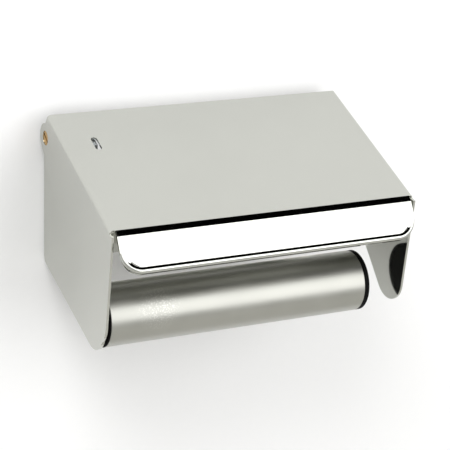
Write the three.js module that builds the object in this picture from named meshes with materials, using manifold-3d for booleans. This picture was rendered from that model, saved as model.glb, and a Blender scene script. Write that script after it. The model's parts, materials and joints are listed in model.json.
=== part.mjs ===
// Wall-mounted toilet paper holder with a hinged, latching steel hood.
//
// Frame: millimetres. The wall is the plane y = 0 and the holder stands out of it towards -Y.
// +X is to the right of a person who faces the holder, +Z is up, and the origin is the centre
// of the bracket's wall face. Outlines in a side view are written as (y, z) points.

import * as THREE from "three";
import { mergeVertices } from "three/addons/utils/BufferGeometryUtils.js";
import Module from "manifold-3d";

const wasm = await Module();
wasm.setup();

const degrees = Math.PI / 180;

// ---------------------------------------------------------------- driving dimensions

// Hood
const HOOD_WIDTH = 140; // outside of one cheek to the outside of the other
const HOOD_REACH = 75.1; // hinge axis forward to the corner of top and lip
const HOOD_SHEET = 1.0;
const TOP_SLOPE = 22 * degrees; // the top falls towards the front
const REAR_EDGE_FORWARD = 2.4; // the top's rear edge, measured from the hinge axis
const REAR_EDGE_UP = 10.75;
const SIDE_FOLD_RADIUS = 1.6; // outside radius of the folds between top and cheeks
const FRONT_FOLD_RADIUS = 4.6; // outside radius of the fold between top and lip
const LIP_FLARE = 30 * degrees; // the lip leans out from the vertical
const LIP_LENGTH = 17.4;
const LIP_INSET = 2.2; // each end of the lip, from the outside of the cheek
const LIP_CORNER_RADIUS = 9;
const HEM_WIDTH = 4;
const EAR_RADIUS = 6.4;
const CHEEK_TIP_FORWARD = 60.65; // centre of the cheek's rounded tip, from the hinge axis
const CHEEK_TIP_DOWN = 59.45;
const CHEEK_TIP_RADIUS = 10.4;
const LATCH_SLOT_LENGTH = 8.4;
const LATCH_SLOT_WIDTH = 2.8;
const LATCH_SLOT_FROM_REAR = 22; // slot's middle, along the top from the rear edge
const LATCH_SLOT_FROM_SIDE = 14.3; // slot's middle, from the outside of the left cheek

// Bracket
const BRACKET_SHEET = 1.2;
const BRACKET_HEIGHT = 64; // wall plate
const BRACKET_FOLD_RADIUS = 1.8; // outside radius of the folds between wall plate and sides
const HINGE_FROM_WALL = 6.9;
const HINGE_BELOW_TOP = 5.75; // hinge axis under the wall plate's top edge
const ARM_TIP_RADIUS = 11.6;
const ARM_TIP_LOWER = 2.4; // centre of the arm's rounded tip under the roller's axis
const ARM_REAR_CORNER_RADIUS = 2.5;
const ARM_FRONT_SETBACK = 3; // arm's front edge behind the cheek's
const LUG_HEIGHT = 30; // the right side's short hinge lug, down from the hinge axis
const SIDE_GAP = 0.5; // between each cheek and the side of the bracket inside it
const WALL_HOLE_RADIUS = 2.5;
const WALL_HOLE_SPACING_X = 90;
const WALL_HOLE_SPACING_Z = 38;
const WALL_SLOT_LENGTH = 10; // the upper pair are slots, to level the holder

// Roller
const ROLLER_FROM_WALL = 60;
const ROLLER_AXIS_Z = -36;
const TUBE_RADIUS = 13.25;
const TUBE_WALL = 0.8;
const TUBE_LENGTH = 119.3;
const LEFT_CAP_RIM = 0.9; // thin, so the tube reaches almost to the arm
const RIGHT_CAP_RIM = 2.2;
const CAP_SPIGOT_LENGTH = 10;
const CAP_WALL = 1.8;
const CAP_HUB_RADIUS = 6.5;
const CAP_HUB_LENGTH = 8.5;
const CAP_RECESS_CLEARANCE = 1; // round the backing washer, on the radius
const CAP_TO_ARM = 0.9;
const SPINDLE_RADIUS = 4;
const SPINDLE_TAIL_RADIUS = 3;
const SPINDLE_CHAMFER = 0.5;
const SPINDLE_END_IN_CAP = 5.2; // the spindle stops this far inside the right cap's outer face
const RING_THICKNESS = 0.8;
const RING_RADIUS = 6.2;
const RING_GROOVE_DEPTH = 0.6;
const RING_OPENING = 70 * degrees;

// Hinge hardware
const HINGE_HEAD_RADIUS = 3.1;
const HINGE_HEAD_RECESS = 0.25; // the head stays under the cheek's face
const HINGE_SHANK_RADIUS = 1.95;
const DRIVER_SLOT_WIDTH = 0.8;
const DRIVER_SLOT_DEPTH = 0.6;
const DRIVER_SLOT_TURN = 35 * degrees; // from level
const HINGE_WASHER_THICKNESS = 0.4;
const HINGE_WASHER_RADIUS = 5.6;
const LOCK_WASHER_THICKNESS = 0.8;
const LOCK_WASHER_RADIUS = 3.8;
const NUT_THICKNESS = 2.4;
const NUT_ACROSS_FLATS = 7;
const SHANK_PROJECTION = 0.9; // past the nut

// Washers on the spindle
const SPINDLE_WASHER_THICKNESS = 1;
const SPINDLE_WASHER_RADIUS = 9;
const THRUST_WASHER_THICKNESS = 0.8;
const THRUST_WASHER_RADIUS = 8;

// Latch
const LATCH_PIVOT_FROM_WALL = 24;
const LATCH_PIVOT_Z = 2;
const LATCH_PIN_RADIUS = 1.5;
const LATCH_PIN_HEAD_RADIUS = 2.4;
const LATCH_PIN_HEAD = 0.8;
const LATCH_PIN_TAIL = 0.4; // past the clevis
const LEVER_THICKNESS = 2.4;
const LEVER_WIDTH = 5;
const LEVER_HUB_WALL = 2; // round the pin hole
const LEVER_HEAD_DEPTH = 2; // the head, measured square to the hood's top
const LEVER_HEAD_LENGTH = 5;
const LEVER_NOSE_RAMP = 0.9; // the nose leans back towards its upper edge
const LEVER_UNDER_TOP = 0.5; // lever's head under the hood's top
const LATCH_SHEET = 1;
const CLEVIS_DEPTH = 12;
const CLEVIS_SIDE_HEIGHT = 10;
const CLEVIS_BELOW_PIN = 5;
const CLEVIS_GAP = 7; // between the two sides that hold the pin
const KEEPER_WIDTH = 8;
const KEEPER_FLANGE_LENGTH = 8;
const KEEPER_DROP = 3.6; // from the hood's inside face to the underside of the ledge
const KEEPER_LEDGE_LENGTH = 7;
const KEEPER_TO_NOSE = 0.7;
const SPRING_WIRE_RADIUS = 0.3;
const SPRING_COIL_RADIUS = 2.15;
const SPRING_FOOT_ANGLE = -70 * degrees; // where the foot leaves the coil
const SPRING_FOOT_LENGTH = 4.6;
const SPRING_LEG_LENGTH = 10;

// Clearances
const RUNNING_CLEARANCE = 0.06; // a turning part in its hole, on the radius
const FREE_CLEARANCE = 0.15; // a screw or pin that only passes through, on the radius
const SEAT_CLEARANCE = 0.05; // a piece that lies against another
const CUT_OVERSHOOT = 1; // a cutting shape runs this far past the piece it cuts

// ---------------------------------------------------------------- derived places

const hingeY = -HINGE_FROM_WALL;
const hingeZ = BRACKET_HEIGHT / 2 - HINGE_BELOW_TOP;
const cheekOuterX = HOOD_WIDTH / 2;
const cheekInnerX = cheekOuterX - HOOD_SHEET;
const sideOuterX = cheekInnerX - SIDE_GAP; // outer faces of the bracket's sides
const sideInnerX = sideOuterX - BRACKET_SHEET;
const wallPlateBottom = -BRACKET_HEIGHT / 2;
const slotX = -cheekOuterX + LATCH_SLOT_FROM_SIDE;
const spindleBoreRadius = SPINDLE_RADIUS + RUNNING_CLEARANCE;

// The hood's own frame has its origin on the hinge axis. "Along" runs down the top towards the
// front and "over" is square to it, both measured from the top's rear edge on the outer face.
const alongY = -Math.cos(TOP_SLOPE);
const alongZ = -Math.sin(TOP_SLOPE);
const overY = alongZ;
const overZ = -alongY;

/** A point on the hood's side view, from its distance along the top and its height over it. */
function onTop(along, over) {
  return new THREE.Vector2(
    -REAR_EDGE_FORWARD + along * alongY + over * overY,
    REAR_EDGE_UP + along * alongZ + over * overZ,
  );
}

const topLength = (HOOD_REACH - REAR_EDGE_FORWARD) / Math.cos(TOP_SLOPE);
const frontCorner = onTop(topLength, 0);
const foldTurn = 90 * degrees - LIP_FLARE - TOP_SLOPE;
const foldTangent = FRONT_FOLD_RADIUS * Math.tan(foldTurn / 2);
const lipDownY = -Math.sin(LIP_FLARE);
const lipDownZ = -Math.cos(LIP_FLARE);
const noseAlong = LATCH_SLOT_FROM_REAR;

// ---------------------------------------------------------------- geometry helpers

/** Extrudes a side-view outline (y, z) along X, from x = from to x = to. */
function sidePlate(shape, from, to, curveSegments = 24) {
  const geometry = new THREE.ExtrudeGeometry(shape, {
    depth: to - from,
    bevelEnabled: false,
    curveSegments,
  });
  const axes = new THREE.Matrix4().makeBasis(
    new THREE.Vector3(0, 1, 0),
    new THREE.Vector3(0, 0, 1),
    new THREE.Vector3(1, 0, 0),
  );
  return geometry.applyMatrix4(axes).translate(from, 0, 0);
}

/** Turns a closed outline of (radius, x) points round the X axis. */
function turned(points, segments = 48) {
  const outline = points.map(([radius, x]) => new THREE.Vector2(radius, x));
  return new THREE.LatheGeometry(outline, segments).rotateZ(-Math.PI / 2);
}

/** A round bar on the X axis. */
function bar(radius, from, to, segments = 48) {
  return turned([[0, from], [radius, from], [radius, to], [0, to]], segments);
}

/** A flat ring on the X axis. */
function ring(inner, outer, from, to, segments = 48) {
  return turned([[inner, from], [outer, from], [outer, to], [inner, to], [inner, from]], segments);
}

function block(fromX, toX, fromY, toY, fromZ, toZ) {
  const geometry = new THREE.BoxGeometry(toX - fromX, toY - fromY, toZ - fromZ);
  return geometry.translate((fromX + toX) / 2, (fromY + toY) / 2, (fromZ + toZ) / 2);
}

function toManifold(geometry) {
  const bare = geometry.clone();
  bare.deleteAttribute("normal");
  bare.deleteAttribute("uv");
  const merged = mergeVertices(bare, 1e-4);
  return new wasm.Manifold(new wasm.Mesh({
    numProp: 3,
    vertProperties: Float32Array.from(merged.attributes.position.array),
    triVerts: Uint32Array.from(merged.index.array),
  }));
}

function fromManifold(solid) {
  const mesh = solid.getMesh();
  const geometry = new THREE.BufferGeometry();
  geometry.setAttribute("position", new THREE.BufferAttribute(mesh.vertProperties, 3));
  geometry.setIndex(new THREE.BufferAttribute(mesh.triVerts, 1));
  geometry.computeVertexNormals();
  return geometry;
}

/** Joins the first list of geometries and cuts the second list out of them. */
function joinAndCut(joined, cuts = []) {
  const start = toManifold(joined[0]);
  const whole = joined.slice(1).reduce((solid, piece) => solid.add(toManifold(piece)), start);
  return fromManifold(cuts.reduce((solid, piece) => solid.subtract(toManifold(piece)), whole));
}

function material(color, roughness, metalness) {
  return new THREE.MeshStandardMaterial({ color, roughness, metalness });
}

const finishes = {
  polishedSteel: () => material(0xc7c8c2, 0.18, 1),
  satinSteel: () => material(0xb4b3aa, 0.35, 1),
  zincSteel: () => material(0xa9abac, 0.4, 1),
  springSteel: () => material(0x6d6f72, 0.4, 1),
  blackenedSteel: () => material(0x2c2a28, 0.5, 1),
  brass: () => material(0xc19a4f, 0.3, 1),
  blackPlastic: () => material(0x101010, 0.45, 0),
  nylon: () => material(0xe6e3da, 0.5, 0),
};

/** Adds a named piece with a finish of its own to a group. */
function addPiece(group, name, geometry, finish) {
  const mesh = new THREE.Mesh(geometry, finish());
  mesh.name = name;
  group.add(mesh);
  return mesh;
}

/** Ends of the outer tangent line that touches two circles on the side given by turn (1 or -1). */
function tangentLine(first, firstRadius, second, secondRadius, turn) {
  const between = second.clone().sub(first);
  const lean = Math.acos((firstRadius - secondRadius) / between.length());
  const direction = between.angle() + turn * lean;
  const normal = new THREE.Vector2(Math.cos(direction), Math.sin(direction));
  return {
    angle: direction,
    start: first.clone().addScaledVector(normal, firstRadius),
    end: second.clone().addScaledVector(normal, secondRadius),
  };
}

// ---------------------------------------------------------------- hood

/** The cheek's side view: ear at the rear, straight edges down to a rounded tip. */
function cheekShape() {
  const ear = new THREE.Vector2(0, 0);
  const tip = new THREE.Vector2(-CHEEK_TIP_FORWARD, -CHEEK_TIP_DOWN);
  const foldEnd = lipPoint(foldTangent, 0);
  const rear = tangentLine(ear, EAR_RADIUS, tip, CHEEK_TIP_RADIUS, 1);
  const front = tangentLine(tip, CHEEK_TIP_RADIUS, foldEnd, 0, 1);
  const topRear = onTop(0, -SIDE_FOLD_RADIUS);
  const topFront = onTop(topLength - foldTangent, -SIDE_FOLD_RADIUS);
  const shape = new THREE.Shape();
  shape.moveTo(topRear.x, topRear.y);
  shape.lineTo(topFront.x, topFront.y);
  shape.lineTo(foldEnd.x, foldEnd.y);
  shape.lineTo(front.start.x, front.start.y);
  shape.absarc(tip.x, tip.y, CHEEK_TIP_RADIUS, front.angle, rear.angle, false);
  shape.absarc(ear.x, ear.y, EAR_RADIUS, rear.angle, Math.PI / 2, false);
  return shape;
}

/** A point on the lip's outer face, from its distance down the lip and its depth behind it. */
function lipPoint(down, depth) {
  return new THREE.Vector2(
    frontCorner.x + down * lipDownY - depth * lipDownZ,
    frontCorner.y + down * lipDownZ + depth * lipDownY,
  );
}

/** Top sheet with its two side folds, as a channel that runs along the top. */
function topChannel() {
  const legs = SIDE_FOLD_RADIUS * 2;
  const innerRadius = SIDE_FOLD_RADIUS - HOOD_SHEET;
  const foldX = cheekOuterX - SIDE_FOLD_RADIUS;
  const section = new THREE.Shape();
  section.moveTo(cheekInnerX, -legs);
  section.lineTo(cheekOuterX, -legs);
  section.absarc(foldX, -SIDE_FOLD_RADIUS, SIDE_FOLD_RADIUS, 0, Math.PI / 2, false);
  section.absarc(-foldX, -SIDE_FOLD_RADIUS, SIDE_FOLD_RADIUS, Math.PI / 2, Math.PI, false);
  section.lineTo(-cheekOuterX, -legs);
  section.lineTo(-cheekInnerX, -legs);
  section.absarc(-foldX, -SIDE_FOLD_RADIUS, innerRadius, Math.PI, Math.PI / 2, true);
  section.absarc(foldX, -SIDE_FOLD_RADIUS, innerRadius, Math.PI / 2, 0, true);
  const geometry = new THREE.ExtrudeGeometry(section, {
    depth: topLength - foldTangent,
    bevelEnabled: false,
    curveSegments: 8,
  });
  const axes = new THREE.Matrix4().makeBasis(
    new THREE.Vector3(1, 0, 0),
    new THREE.Vector3(0, overY, overZ),
    new THREE.Vector3(0, alongY, alongZ),
  );
  const rearEdge = onTop(0, 0);
  return geometry.applyMatrix4(axes).translate(0, rearEdge.x, rearEdge.y);
}

/** The fold between the top and the lip, with a little of each for the join. */
function frontFold() {
  const join = HOOD_SHEET;
  const lead = onTop(topLength - foldTangent, 0);
  const centre = onTop(topLength - foldTangent, -FRONT_FOLD_RADIUS);
  const startAngle = Math.atan2(lead.y - centre.y, lead.x - centre.x);
  const innerRadius = FRONT_FOLD_RADIUS - HOOD_SHEET;
  const topOuter = onTop(topLength - foldTangent - join, 0);
  const topInner = onTop(topLength - foldTangent - join, -HOOD_SHEET);
  const lipOuter = lipPoint(foldTangent + join, 0);
  const lipInner = lipPoint(foldTangent + join, HOOD_SHEET);
  const shape = new THREE.Shape();
  shape.moveTo(topInner.x, topInner.y);
  shape.lineTo(topOuter.x, topOuter.y);
  shape.absarc(centre.x, centre.y, FRONT_FOLD_RADIUS, startAngle, startAngle + foldTurn, false);
  shape.lineTo(lipOuter.x, lipOuter.y);
  shape.lineTo(lipInner.x, lipInner.y);
  shape.absarc(centre.x, centre.y, innerRadius, startAngle + foldTurn, startAngle, true);
  const halfWidth = cheekOuterX - LIP_INSET;
  return sidePlate(shape, -halfWidth, halfWidth);
}

/** The lip's outline in its own plane, shrunk by inset: x to the right, y up from the corner. */
function lipOutline(inset) {
  const halfWidth = cheekOuterX - LIP_INSET - inset;
  const bottom = -LIP_LENGTH + inset;
  const corner = LIP_CORNER_RADIUS - inset;
  const shape = new THREE.Shape();
  shape.moveTo(halfWidth, -foldTangent);
  shape.lineTo(-halfWidth, -foldTangent);
  shape.absarc(-halfWidth + corner, bottom + corner, corner, Math.PI, Math.PI * 1.5, false);
  shape.absarc(halfWidth - corner, bottom + corner, corner, Math.PI * 1.5, Math.PI * 2, false);
  return shape;
}

/** The band along the lip's free edge where the sheet is folded back on itself. */
function hemOutline() {
  const outer = lipOutline(0).getPoints(12).slice(1);
  const inner = lipOutline(HEM_WIDTH).getPoints(12).slice(1);
  const rightEnd = new THREE.Vector2(cheekOuterX - LIP_INSET, -foldTangent);
  const innerRightEnd = new THREE.Vector2(rightEnd.x - HEM_WIDTH, -foldTangent);
  return new THREE.Shape([...outer, rightEnd, innerRightEnd, ...inner.reverse()]);
}

/** Moves a piece from the lip's plane, where z is the depth behind the outer face. */
function placeOnLip(geometry) {
  const axes = new THREE.Matrix4().makeBasis(
    new THREE.Vector3(1, 0, 0),
    new THREE.Vector3(0, -lipDownY, -lipDownZ),
    new THREE.Vector3(0, lipDownZ, -lipDownY),
  );
  return geometry.applyMatrix4(axes).translate(0, frontCorner.x, frontCorner.y);
}

/** The lip's sheet and, behind its free edge, the sheet folded back on itself. */
function lipAndHem() {
  const settings = { bevelEnabled: false, curveSegments: 12 };
  const sheet = new THREE.ExtrudeGeometry(lipOutline(0), { depth: HOOD_SHEET, ...settings });
  const hem = new THREE.ExtrudeGeometry(hemOutline(), { depth: HOOD_SHEET * 2, ...settings });
  return [
    placeOnLip(sheet.translate(0, 0, -HOOD_SHEET)),
    placeOnLip(hem.translate(0, 0, -HOOD_SHEET * 2)),
  ];
}

/** Round-ended cutter for the latch slot, square to the top. */
function latchSlotCutter() {
  const radius = LATCH_SLOT_WIDTH / 2;
  const straight = LATCH_SLOT_LENGTH / 2 - radius;
  const shape = new THREE.Shape();
  shape.absarc(0, straight, radius, 0, Math.PI, false);
  shape.absarc(0, -straight, radius, Math.PI, Math.PI * 2, false);
  const depth = HOOD_SHEET * 3;
  const geometry = new THREE.ExtrudeGeometry(shape, { depth, bevelEnabled: false });
  const axes = new THREE.Matrix4().makeBasis(
    new THREE.Vector3(1, 0, 0),
    new THREE.Vector3(0, -alongY, -alongZ),
    new THREE.Vector3(0, overY, overZ),
  );
  const centre = onTop(LATCH_SLOT_FROM_REAR, -HOOD_SHEET * 2);
  return geometry.applyMatrix4(axes).translate(slotX, centre.x, centre.y);
}

function hoodGeometry() {
  const cheeks = [
    sidePlate(cheekShape(), -cheekOuterX, -cheekInnerX, 32),
    sidePlate(cheekShape(), cheekInnerX, cheekOuterX, 32),
  ];
  const holeRadius = HINGE_HEAD_RADIUS + RUNNING_CLEARANCE;
  const hingeHoles = bar(holeRadius, -cheekOuterX - CUT_OVERSHOOT, cheekOuterX + CUT_OVERSHOOT);
  return joinAndCut(
    [topChannel(), ...cheeks, frontFold(), ...lipAndHem()],
    [hingeHoles, latchSlotCutter()],
  );
}

/** J-shaped catch welded under the top: a flange, a short drop and a ledge that points back. */
function keeperGeometry() {
  const top = -HOOD_SHEET - SEAT_CLEARANCE;
  const under = top - KEEPER_DROP;
  const tip = noseAlong + KEEPER_TO_NOSE;
  const drop = tip + KEEPER_LEDGE_LENGTH;
  const corners = [
    [drop + KEEPER_FLANGE_LENGTH, top],
    [drop - LATCH_SHEET, top],
    [drop - LATCH_SHEET, under + LATCH_SHEET],
    [tip, under + LATCH_SHEET],
    [tip, under],
    [drop, under],
    [drop, top - LATCH_SHEET],
    [drop + KEEPER_FLANGE_LENGTH, top - LATCH_SHEET],
  ];
  const shape = new THREE.Shape(corners.map(([along, over]) => onTop(along, over)));
  return sidePlate(shape, slotX - KEEPER_WIDTH / 2, slotX + KEEPER_WIDTH / 2);
}

// ---------------------------------------------------------------- bracket

const hinge = new THREE.Vector2(hingeY, hingeZ);
const rollerAxis = new THREE.Vector2(-ROLLER_FROM_WALL, ROLLER_AXIS_Z);
const sideRearY = -BRACKET_FOLD_RADIUS; // the sides are flat from here forward
const overAngle = Math.PI / 2 + TOP_SLOPE; // direction square to the hood's top
const rearTurn = Math.acos((HINGE_FROM_WALL + sideRearY) / EAR_RADIUS);

/** The left arm's side view: round the hinge, under the hood's top, and down to the spindle. */
function armShape() {
  const cornerRadius = ARM_REAR_CORNER_RADIUS;
  const corner = new THREE.Vector2(sideRearY - cornerRadius, wallPlateBottom + cornerRadius);
  const tip = new THREE.Vector2(rollerAxis.x, rollerAxis.y - ARM_TIP_LOWER);
  const bottom = tangentLine(corner, cornerRadius, tip, ARM_TIP_RADIUS, 1);
  const overHinge = onTop(0, 0).dot(new THREE.Vector2(overY, overZ));
  const frontAlong = topLength - foldTangent - ARM_FRONT_SETBACK;
  const frontTop = onTop(frontAlong, EAR_RADIUS - overHinge).add(hinge);
  const front = tangentLine(tip, ARM_TIP_RADIUS, frontTop, 0, 1);
  const shape = new THREE.Shape();
  shape.moveTo(frontTop.x, frontTop.y);
  shape.lineTo(front.start.x, front.start.y);
  shape.absarc(tip.x, tip.y, ARM_TIP_RADIUS, front.angle, bottom.angle, false);
  shape.absarc(corner.x, corner.y, cornerRadius, bottom.angle, 0, false);
  shape.absarc(hinge.x, hinge.y, EAR_RADIUS, rearTurn, overAngle, false);
  return shape;
}

/** The right side's short lug: round the hinge and tapering down to the wall. */
function lugShape() {
  const foot = new THREE.Vector2(sideRearY - BRACKET_SHEET, hingeZ - LUG_HEIGHT);
  const front = tangentLine(hinge, EAR_RADIUS, foot, 0, -1);
  const shape = new THREE.Shape();
  shape.moveTo(foot.x, foot.y);
  shape.lineTo(sideRearY, foot.y);
  shape.absarc(hinge.x, hinge.y, EAR_RADIUS, rearTurn, front.angle, false);
  return shape;
}

/** The wall plate, with level slots above and round holes below for the wall screws. */
function wallPlate() {
  const halfWidth = sideOuterX - BRACKET_FOLD_RADIUS;
  const top = BRACKET_HEIGHT / 2;
  const topRadius = HINGE_BELOW_TOP;
  const lowRadius = ARM_REAR_CORNER_RADIUS;
  const low = wallPlateBottom + lowRadius;
  const shape = new THREE.Shape();
  shape.absarc(halfWidth - topRadius, top - topRadius, topRadius, 0, Math.PI / 2, false);
  shape.absarc(topRadius - halfWidth, top - topRadius, topRadius, Math.PI / 2, Math.PI, false);
  shape.absarc(lowRadius - halfWidth, low, lowRadius, Math.PI, Math.PI * 1.5, false);
  shape.absarc(halfWidth - lowRadius, low, lowRadius, Math.PI * 1.5, Math.PI * 2, false);
  const slotStraight = WALL_SLOT_LENGTH / 2 - WALL_HOLE_RADIUS;
  for (const side of [-1, 1]) {
    const x = side * WALL_HOLE_SPACING_X / 2;
    const z = WALL_HOLE_SPACING_Z / 2;
    const slot = new THREE.Path();
    slot.absarc(x + slotStraight, z, WALL_HOLE_RADIUS, -Math.PI / 2, Math.PI / 2, false);
    slot.absarc(x - slotStraight, z, WALL_HOLE_RADIUS, Math.PI / 2, Math.PI * 1.5, false);
    const hole = new THREE.Path();
    hole.absarc(x, -z, WALL_HOLE_RADIUS, 0, Math.PI * 2, false);
    shape.holes.push(slot, hole);
  }
  const geometry = new THREE.ExtrudeGeometry(shape, {
    depth: BRACKET_SHEET,
    bevelEnabled: false,
    curveSegments: 24,
  });
  return geometry.rotateX(Math.PI / 2);
}

/** The fold between the wall plate and one side, over a stretch of its height. */
function sideFold(side, fromZ, toZ) {
  const radius = BRACKET_FOLD_RADIUS;
  const inner = radius - BRACKET_SHEET;
  const centreX = side * (sideOuterX - radius);
  const join = BRACKET_SHEET / 2;
  const sideAngle = side > 0 ? 0 : Math.PI;
  const shape = new THREE.Shape();
  shape.moveTo(centreX - side * join, -BRACKET_SHEET);
  shape.lineTo(centreX - side * join, 0);
  shape.absarc(centreX, -radius, radius, Math.PI / 2, sideAngle, side > 0);
  shape.lineTo(side * sideOuterX, -radius - join);
  shape.lineTo(side * sideInnerX, -radius - join);
  shape.absarc(centreX, -radius, inner, sideAngle, Math.PI / 2, side < 0);
  const geometry = new THREE.ExtrudeGeometry(shape, {
    depth: toZ - fromZ,
    bevelEnabled: false,
    curveSegments: 8,
  });
  return geometry.translate(0, 0, fromZ);
}

function bracketGeometry() {
  const screwHoleRadius = HINGE_SHANK_RADIUS + FREE_CLEARANCE;
  const screwHoles = bar(screwHoleRadius, -cheekOuterX, cheekOuterX).translate(0, hingeY, hingeZ);
  const tailRadius = SPINDLE_TAIL_RADIUS + SEAT_CLEARANCE;
  const tailHole = bar(tailRadius, -cheekOuterX, -sideInnerX + CUT_OVERSHOOT)
    .translate(0, rollerAxis.x, rollerAxis.y);
  return joinAndCut(
    [
      wallPlate(),
      sideFold(-1, wallPlateBottom + ARM_REAR_CORNER_RADIUS, hingeZ),
      sideFold(1, hingeZ - LUG_HEIGHT, hingeZ),
      sidePlate(armShape(), -sideOuterX, -sideInnerX, 32),
      sidePlate(lugShape(), sideInnerX, sideOuterX, 32),
    ],
    [screwHoles, tailHole],
  );
}

// ---------------------------------------------------------------- hinge hardware

/** One side's screw, washers and nut, built on the hinge axis for the left side. */
function hingeSet(side) {
  const headOuter = -cheekOuterX + HINGE_HEAD_RECESS;
  const lockWasherEnd = -sideInnerX + LOCK_WASHER_THICKNESS;
  const nutEnd = lockWasherEnd + NUT_THICKNESS;
  const shankEnd = nutEnd + SHANK_PROJECTION;
  const screw = turned([
    [0, headOuter],
    [HINGE_HEAD_RADIUS, headOuter],
    [HINGE_HEAD_RADIUS, -sideOuterX],
    [HINGE_SHANK_RADIUS, -sideOuterX],
    [HINGE_SHANK_RADIUS, shankEnd],
    [0, shankEnd],
  ]);
  const driverSlot = block(
    headOuter - CUT_OVERSHOOT,
    headOuter + DRIVER_SLOT_DEPTH,
    -HINGE_HEAD_RADIUS * 2,
    HINGE_HEAD_RADIUS * 2,
    -DRIVER_SLOT_WIDTH / 2,
    DRIVER_SLOT_WIDTH / 2,
  ).rotateX(DRIVER_SLOT_TURN);
  const washerMiddle = -sideOuterX - SIDE_GAP / 2;
  const holeRadius = HINGE_HEAD_RADIUS + RUNNING_CLEARANCE;
  const halfWasher = HINGE_WASHER_THICKNESS / 2;
  const boreRadius = HINGE_SHANK_RADIUS + SEAT_CLEARANCE;
  const nutCornerRadius = NUT_ACROSS_FLATS / 2 / Math.cos(Math.PI / 6);
  const hexagon = new THREE.Shape([0, 1, 2, 3, 4, 5].map((corner) => {
    const angle = (corner + 0.5) * Math.PI / 3;
    return new THREE.Vector2(Math.cos(angle), Math.sin(angle)).multiplyScalar(nutCornerRadius);
  }));
  const nutBore = new THREE.Path();
  nutBore.absarc(0, 0, boreRadius, 0, Math.PI * 2, false);
  hexagon.holes.push(nutBore);
  const pieces = {
    screw: [joinAndCut([screw], [driverSlot]), finishes.brass],
    washer: [
      ring(holeRadius, HINGE_WASHER_RADIUS, washerMiddle - halfWasher, washerMiddle + halfWasher),
      finishes.nylon,
    ],
    lock_washer: [
      ring(boreRadius, LOCK_WASHER_RADIUS, -sideInnerX, lockWasherEnd),
      finishes.springSteel,
    ],
    nut: [sidePlate(hexagon, lockWasherEnd, nutEnd), finishes.zincSteel],
  };
  const set = new THREE.Group();
  const sideName = side < 0 ? "left" : "right";
  for (const [name, [geometry, finish]] of Object.entries(pieces)) {
    if (side > 0) {
      geometry.rotateZ(Math.PI);
    }
    addPiece(set, `hinge_${name}_${sideName}`, geometry, finish);
  }
  set.position.set(0, hingeY, hingeZ);
  return set;
}

// ---------------------------------------------------------------- roller and spindle

const capOuterLeft = -sideInnerX + CAP_TO_ARM;
const tubeLeft = capOuterLeft + LEFT_CAP_RIM;
const tubeRight = tubeLeft + TUBE_LENGTH;
const capOuterRight = tubeRight + RIGHT_CAP_RIM;
const spindleShoulder = -sideInnerX + SPINDLE_WASHER_THICKNESS;
const thrustEnd = spindleShoulder + SEAT_CLEARANCE + THRUST_WASHER_THICKNESS;
const recessFloor = thrustEnd + FREE_CLEARANCE;
const hubEndLeft = tubeLeft + CAP_HUB_LENGTH;
const ringStart = hubEndLeft + FREE_CLEARANCE;
const spindleEnd = capOuterRight - SPINDLE_END_IN_CAP;
const spigotRadius = TUBE_RADIUS - TUBE_WALL - SEAT_CLEARANCE;

/** The left cap: rim, spigot that fits the tube, and a hub that runs on the spindle. */
function leftCapGeometry() {
  const webEnd = recessFloor + CAP_WALL;
  const recessRadius = SPINDLE_WASHER_RADIUS + CAP_RECESS_CLEARANCE;
  return turned([
    [spindleBoreRadius, recessFloor],
    [recessRadius, recessFloor],
    [recessRadius, capOuterLeft],
    [TUBE_RADIUS, capOuterLeft],
    [TUBE_RADIUS, tubeLeft],
    [spigotRadius, tubeLeft],
    [spigotRadius, tubeLeft + CAP_SPIGOT_LENGTH],
    [spigotRadius - CAP_WALL, tubeLeft + CAP_SPIGOT_LENGTH],
    [spigotRadius - CAP_WALL, webEnd],
    [CAP_HUB_RADIUS, webEnd],
    [CAP_HUB_RADIUS, hubEndLeft],
    [spindleBoreRadius, hubEndLeft],
    [spindleBoreRadius, recessFloor],
  ]);
}

/** The right cap: a closed face, a spigot, and a hub with a blind bore for the spindle. */
function rightCapGeometry() {
  const webEnd = tubeRight;
  const boreFloor = spindleEnd + FREE_CLEARANCE;
  const hubEnd = tubeRight - CAP_HUB_LENGTH;
  return turned([
    [0, boreFloor],
    [spindleBoreRadius, boreFloor],
    [spindleBoreRadius, hubEnd],
    [CAP_HUB_RADIUS, hubEnd],
    [CAP_HUB_RADIUS, webEnd],
    [spigotRadius - CAP_WALL, webEnd],
    [spigotRadius - CAP_WALL, tubeRight - CAP_SPIGOT_LENGTH],
    [spigotRadius, tubeRight - CAP_SPIGOT_LENGTH],
    [spigotRadius, tubeRight],
    [TUBE_RADIUS, tubeRight],
    [TUBE_RADIUS, capOuterRight],
    [0, capOuterRight],
  ]);
}

/** The spindle: tail through the arm, bearing length, and the retaining ring's groove. */
function spindleGeometry() {
  const grooveRadius = SPINDLE_RADIUS - RING_GROOVE_DEPTH;
  return turned([
    [0, -sideOuterX + SEAT_CLEARANCE],
    [SPINDLE_TAIL_RADIUS, -sideOuterX + SEAT_CLEARANCE],
    [SPINDLE_TAIL_RADIUS, spindleShoulder],
    [SPINDLE_RADIUS, spindleShoulder],
    [SPINDLE_RADIUS, ringStart - SEAT_CLEARANCE],
    [grooveRadius, ringStart - SEAT_CLEARANCE],
    [grooveRadius, ringStart + RING_THICKNESS + SEAT_CLEARANCE],
    [SPINDLE_RADIUS, ringStart + RING_THICKNESS + SEAT_CLEARANCE],
    [SPINDLE_RADIUS, spindleEnd - SPINDLE_CHAMFER],
    [SPINDLE_RADIUS - SPINDLE_CHAMFER, spindleEnd],
    [0, spindleEnd],
  ]);
}

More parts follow.
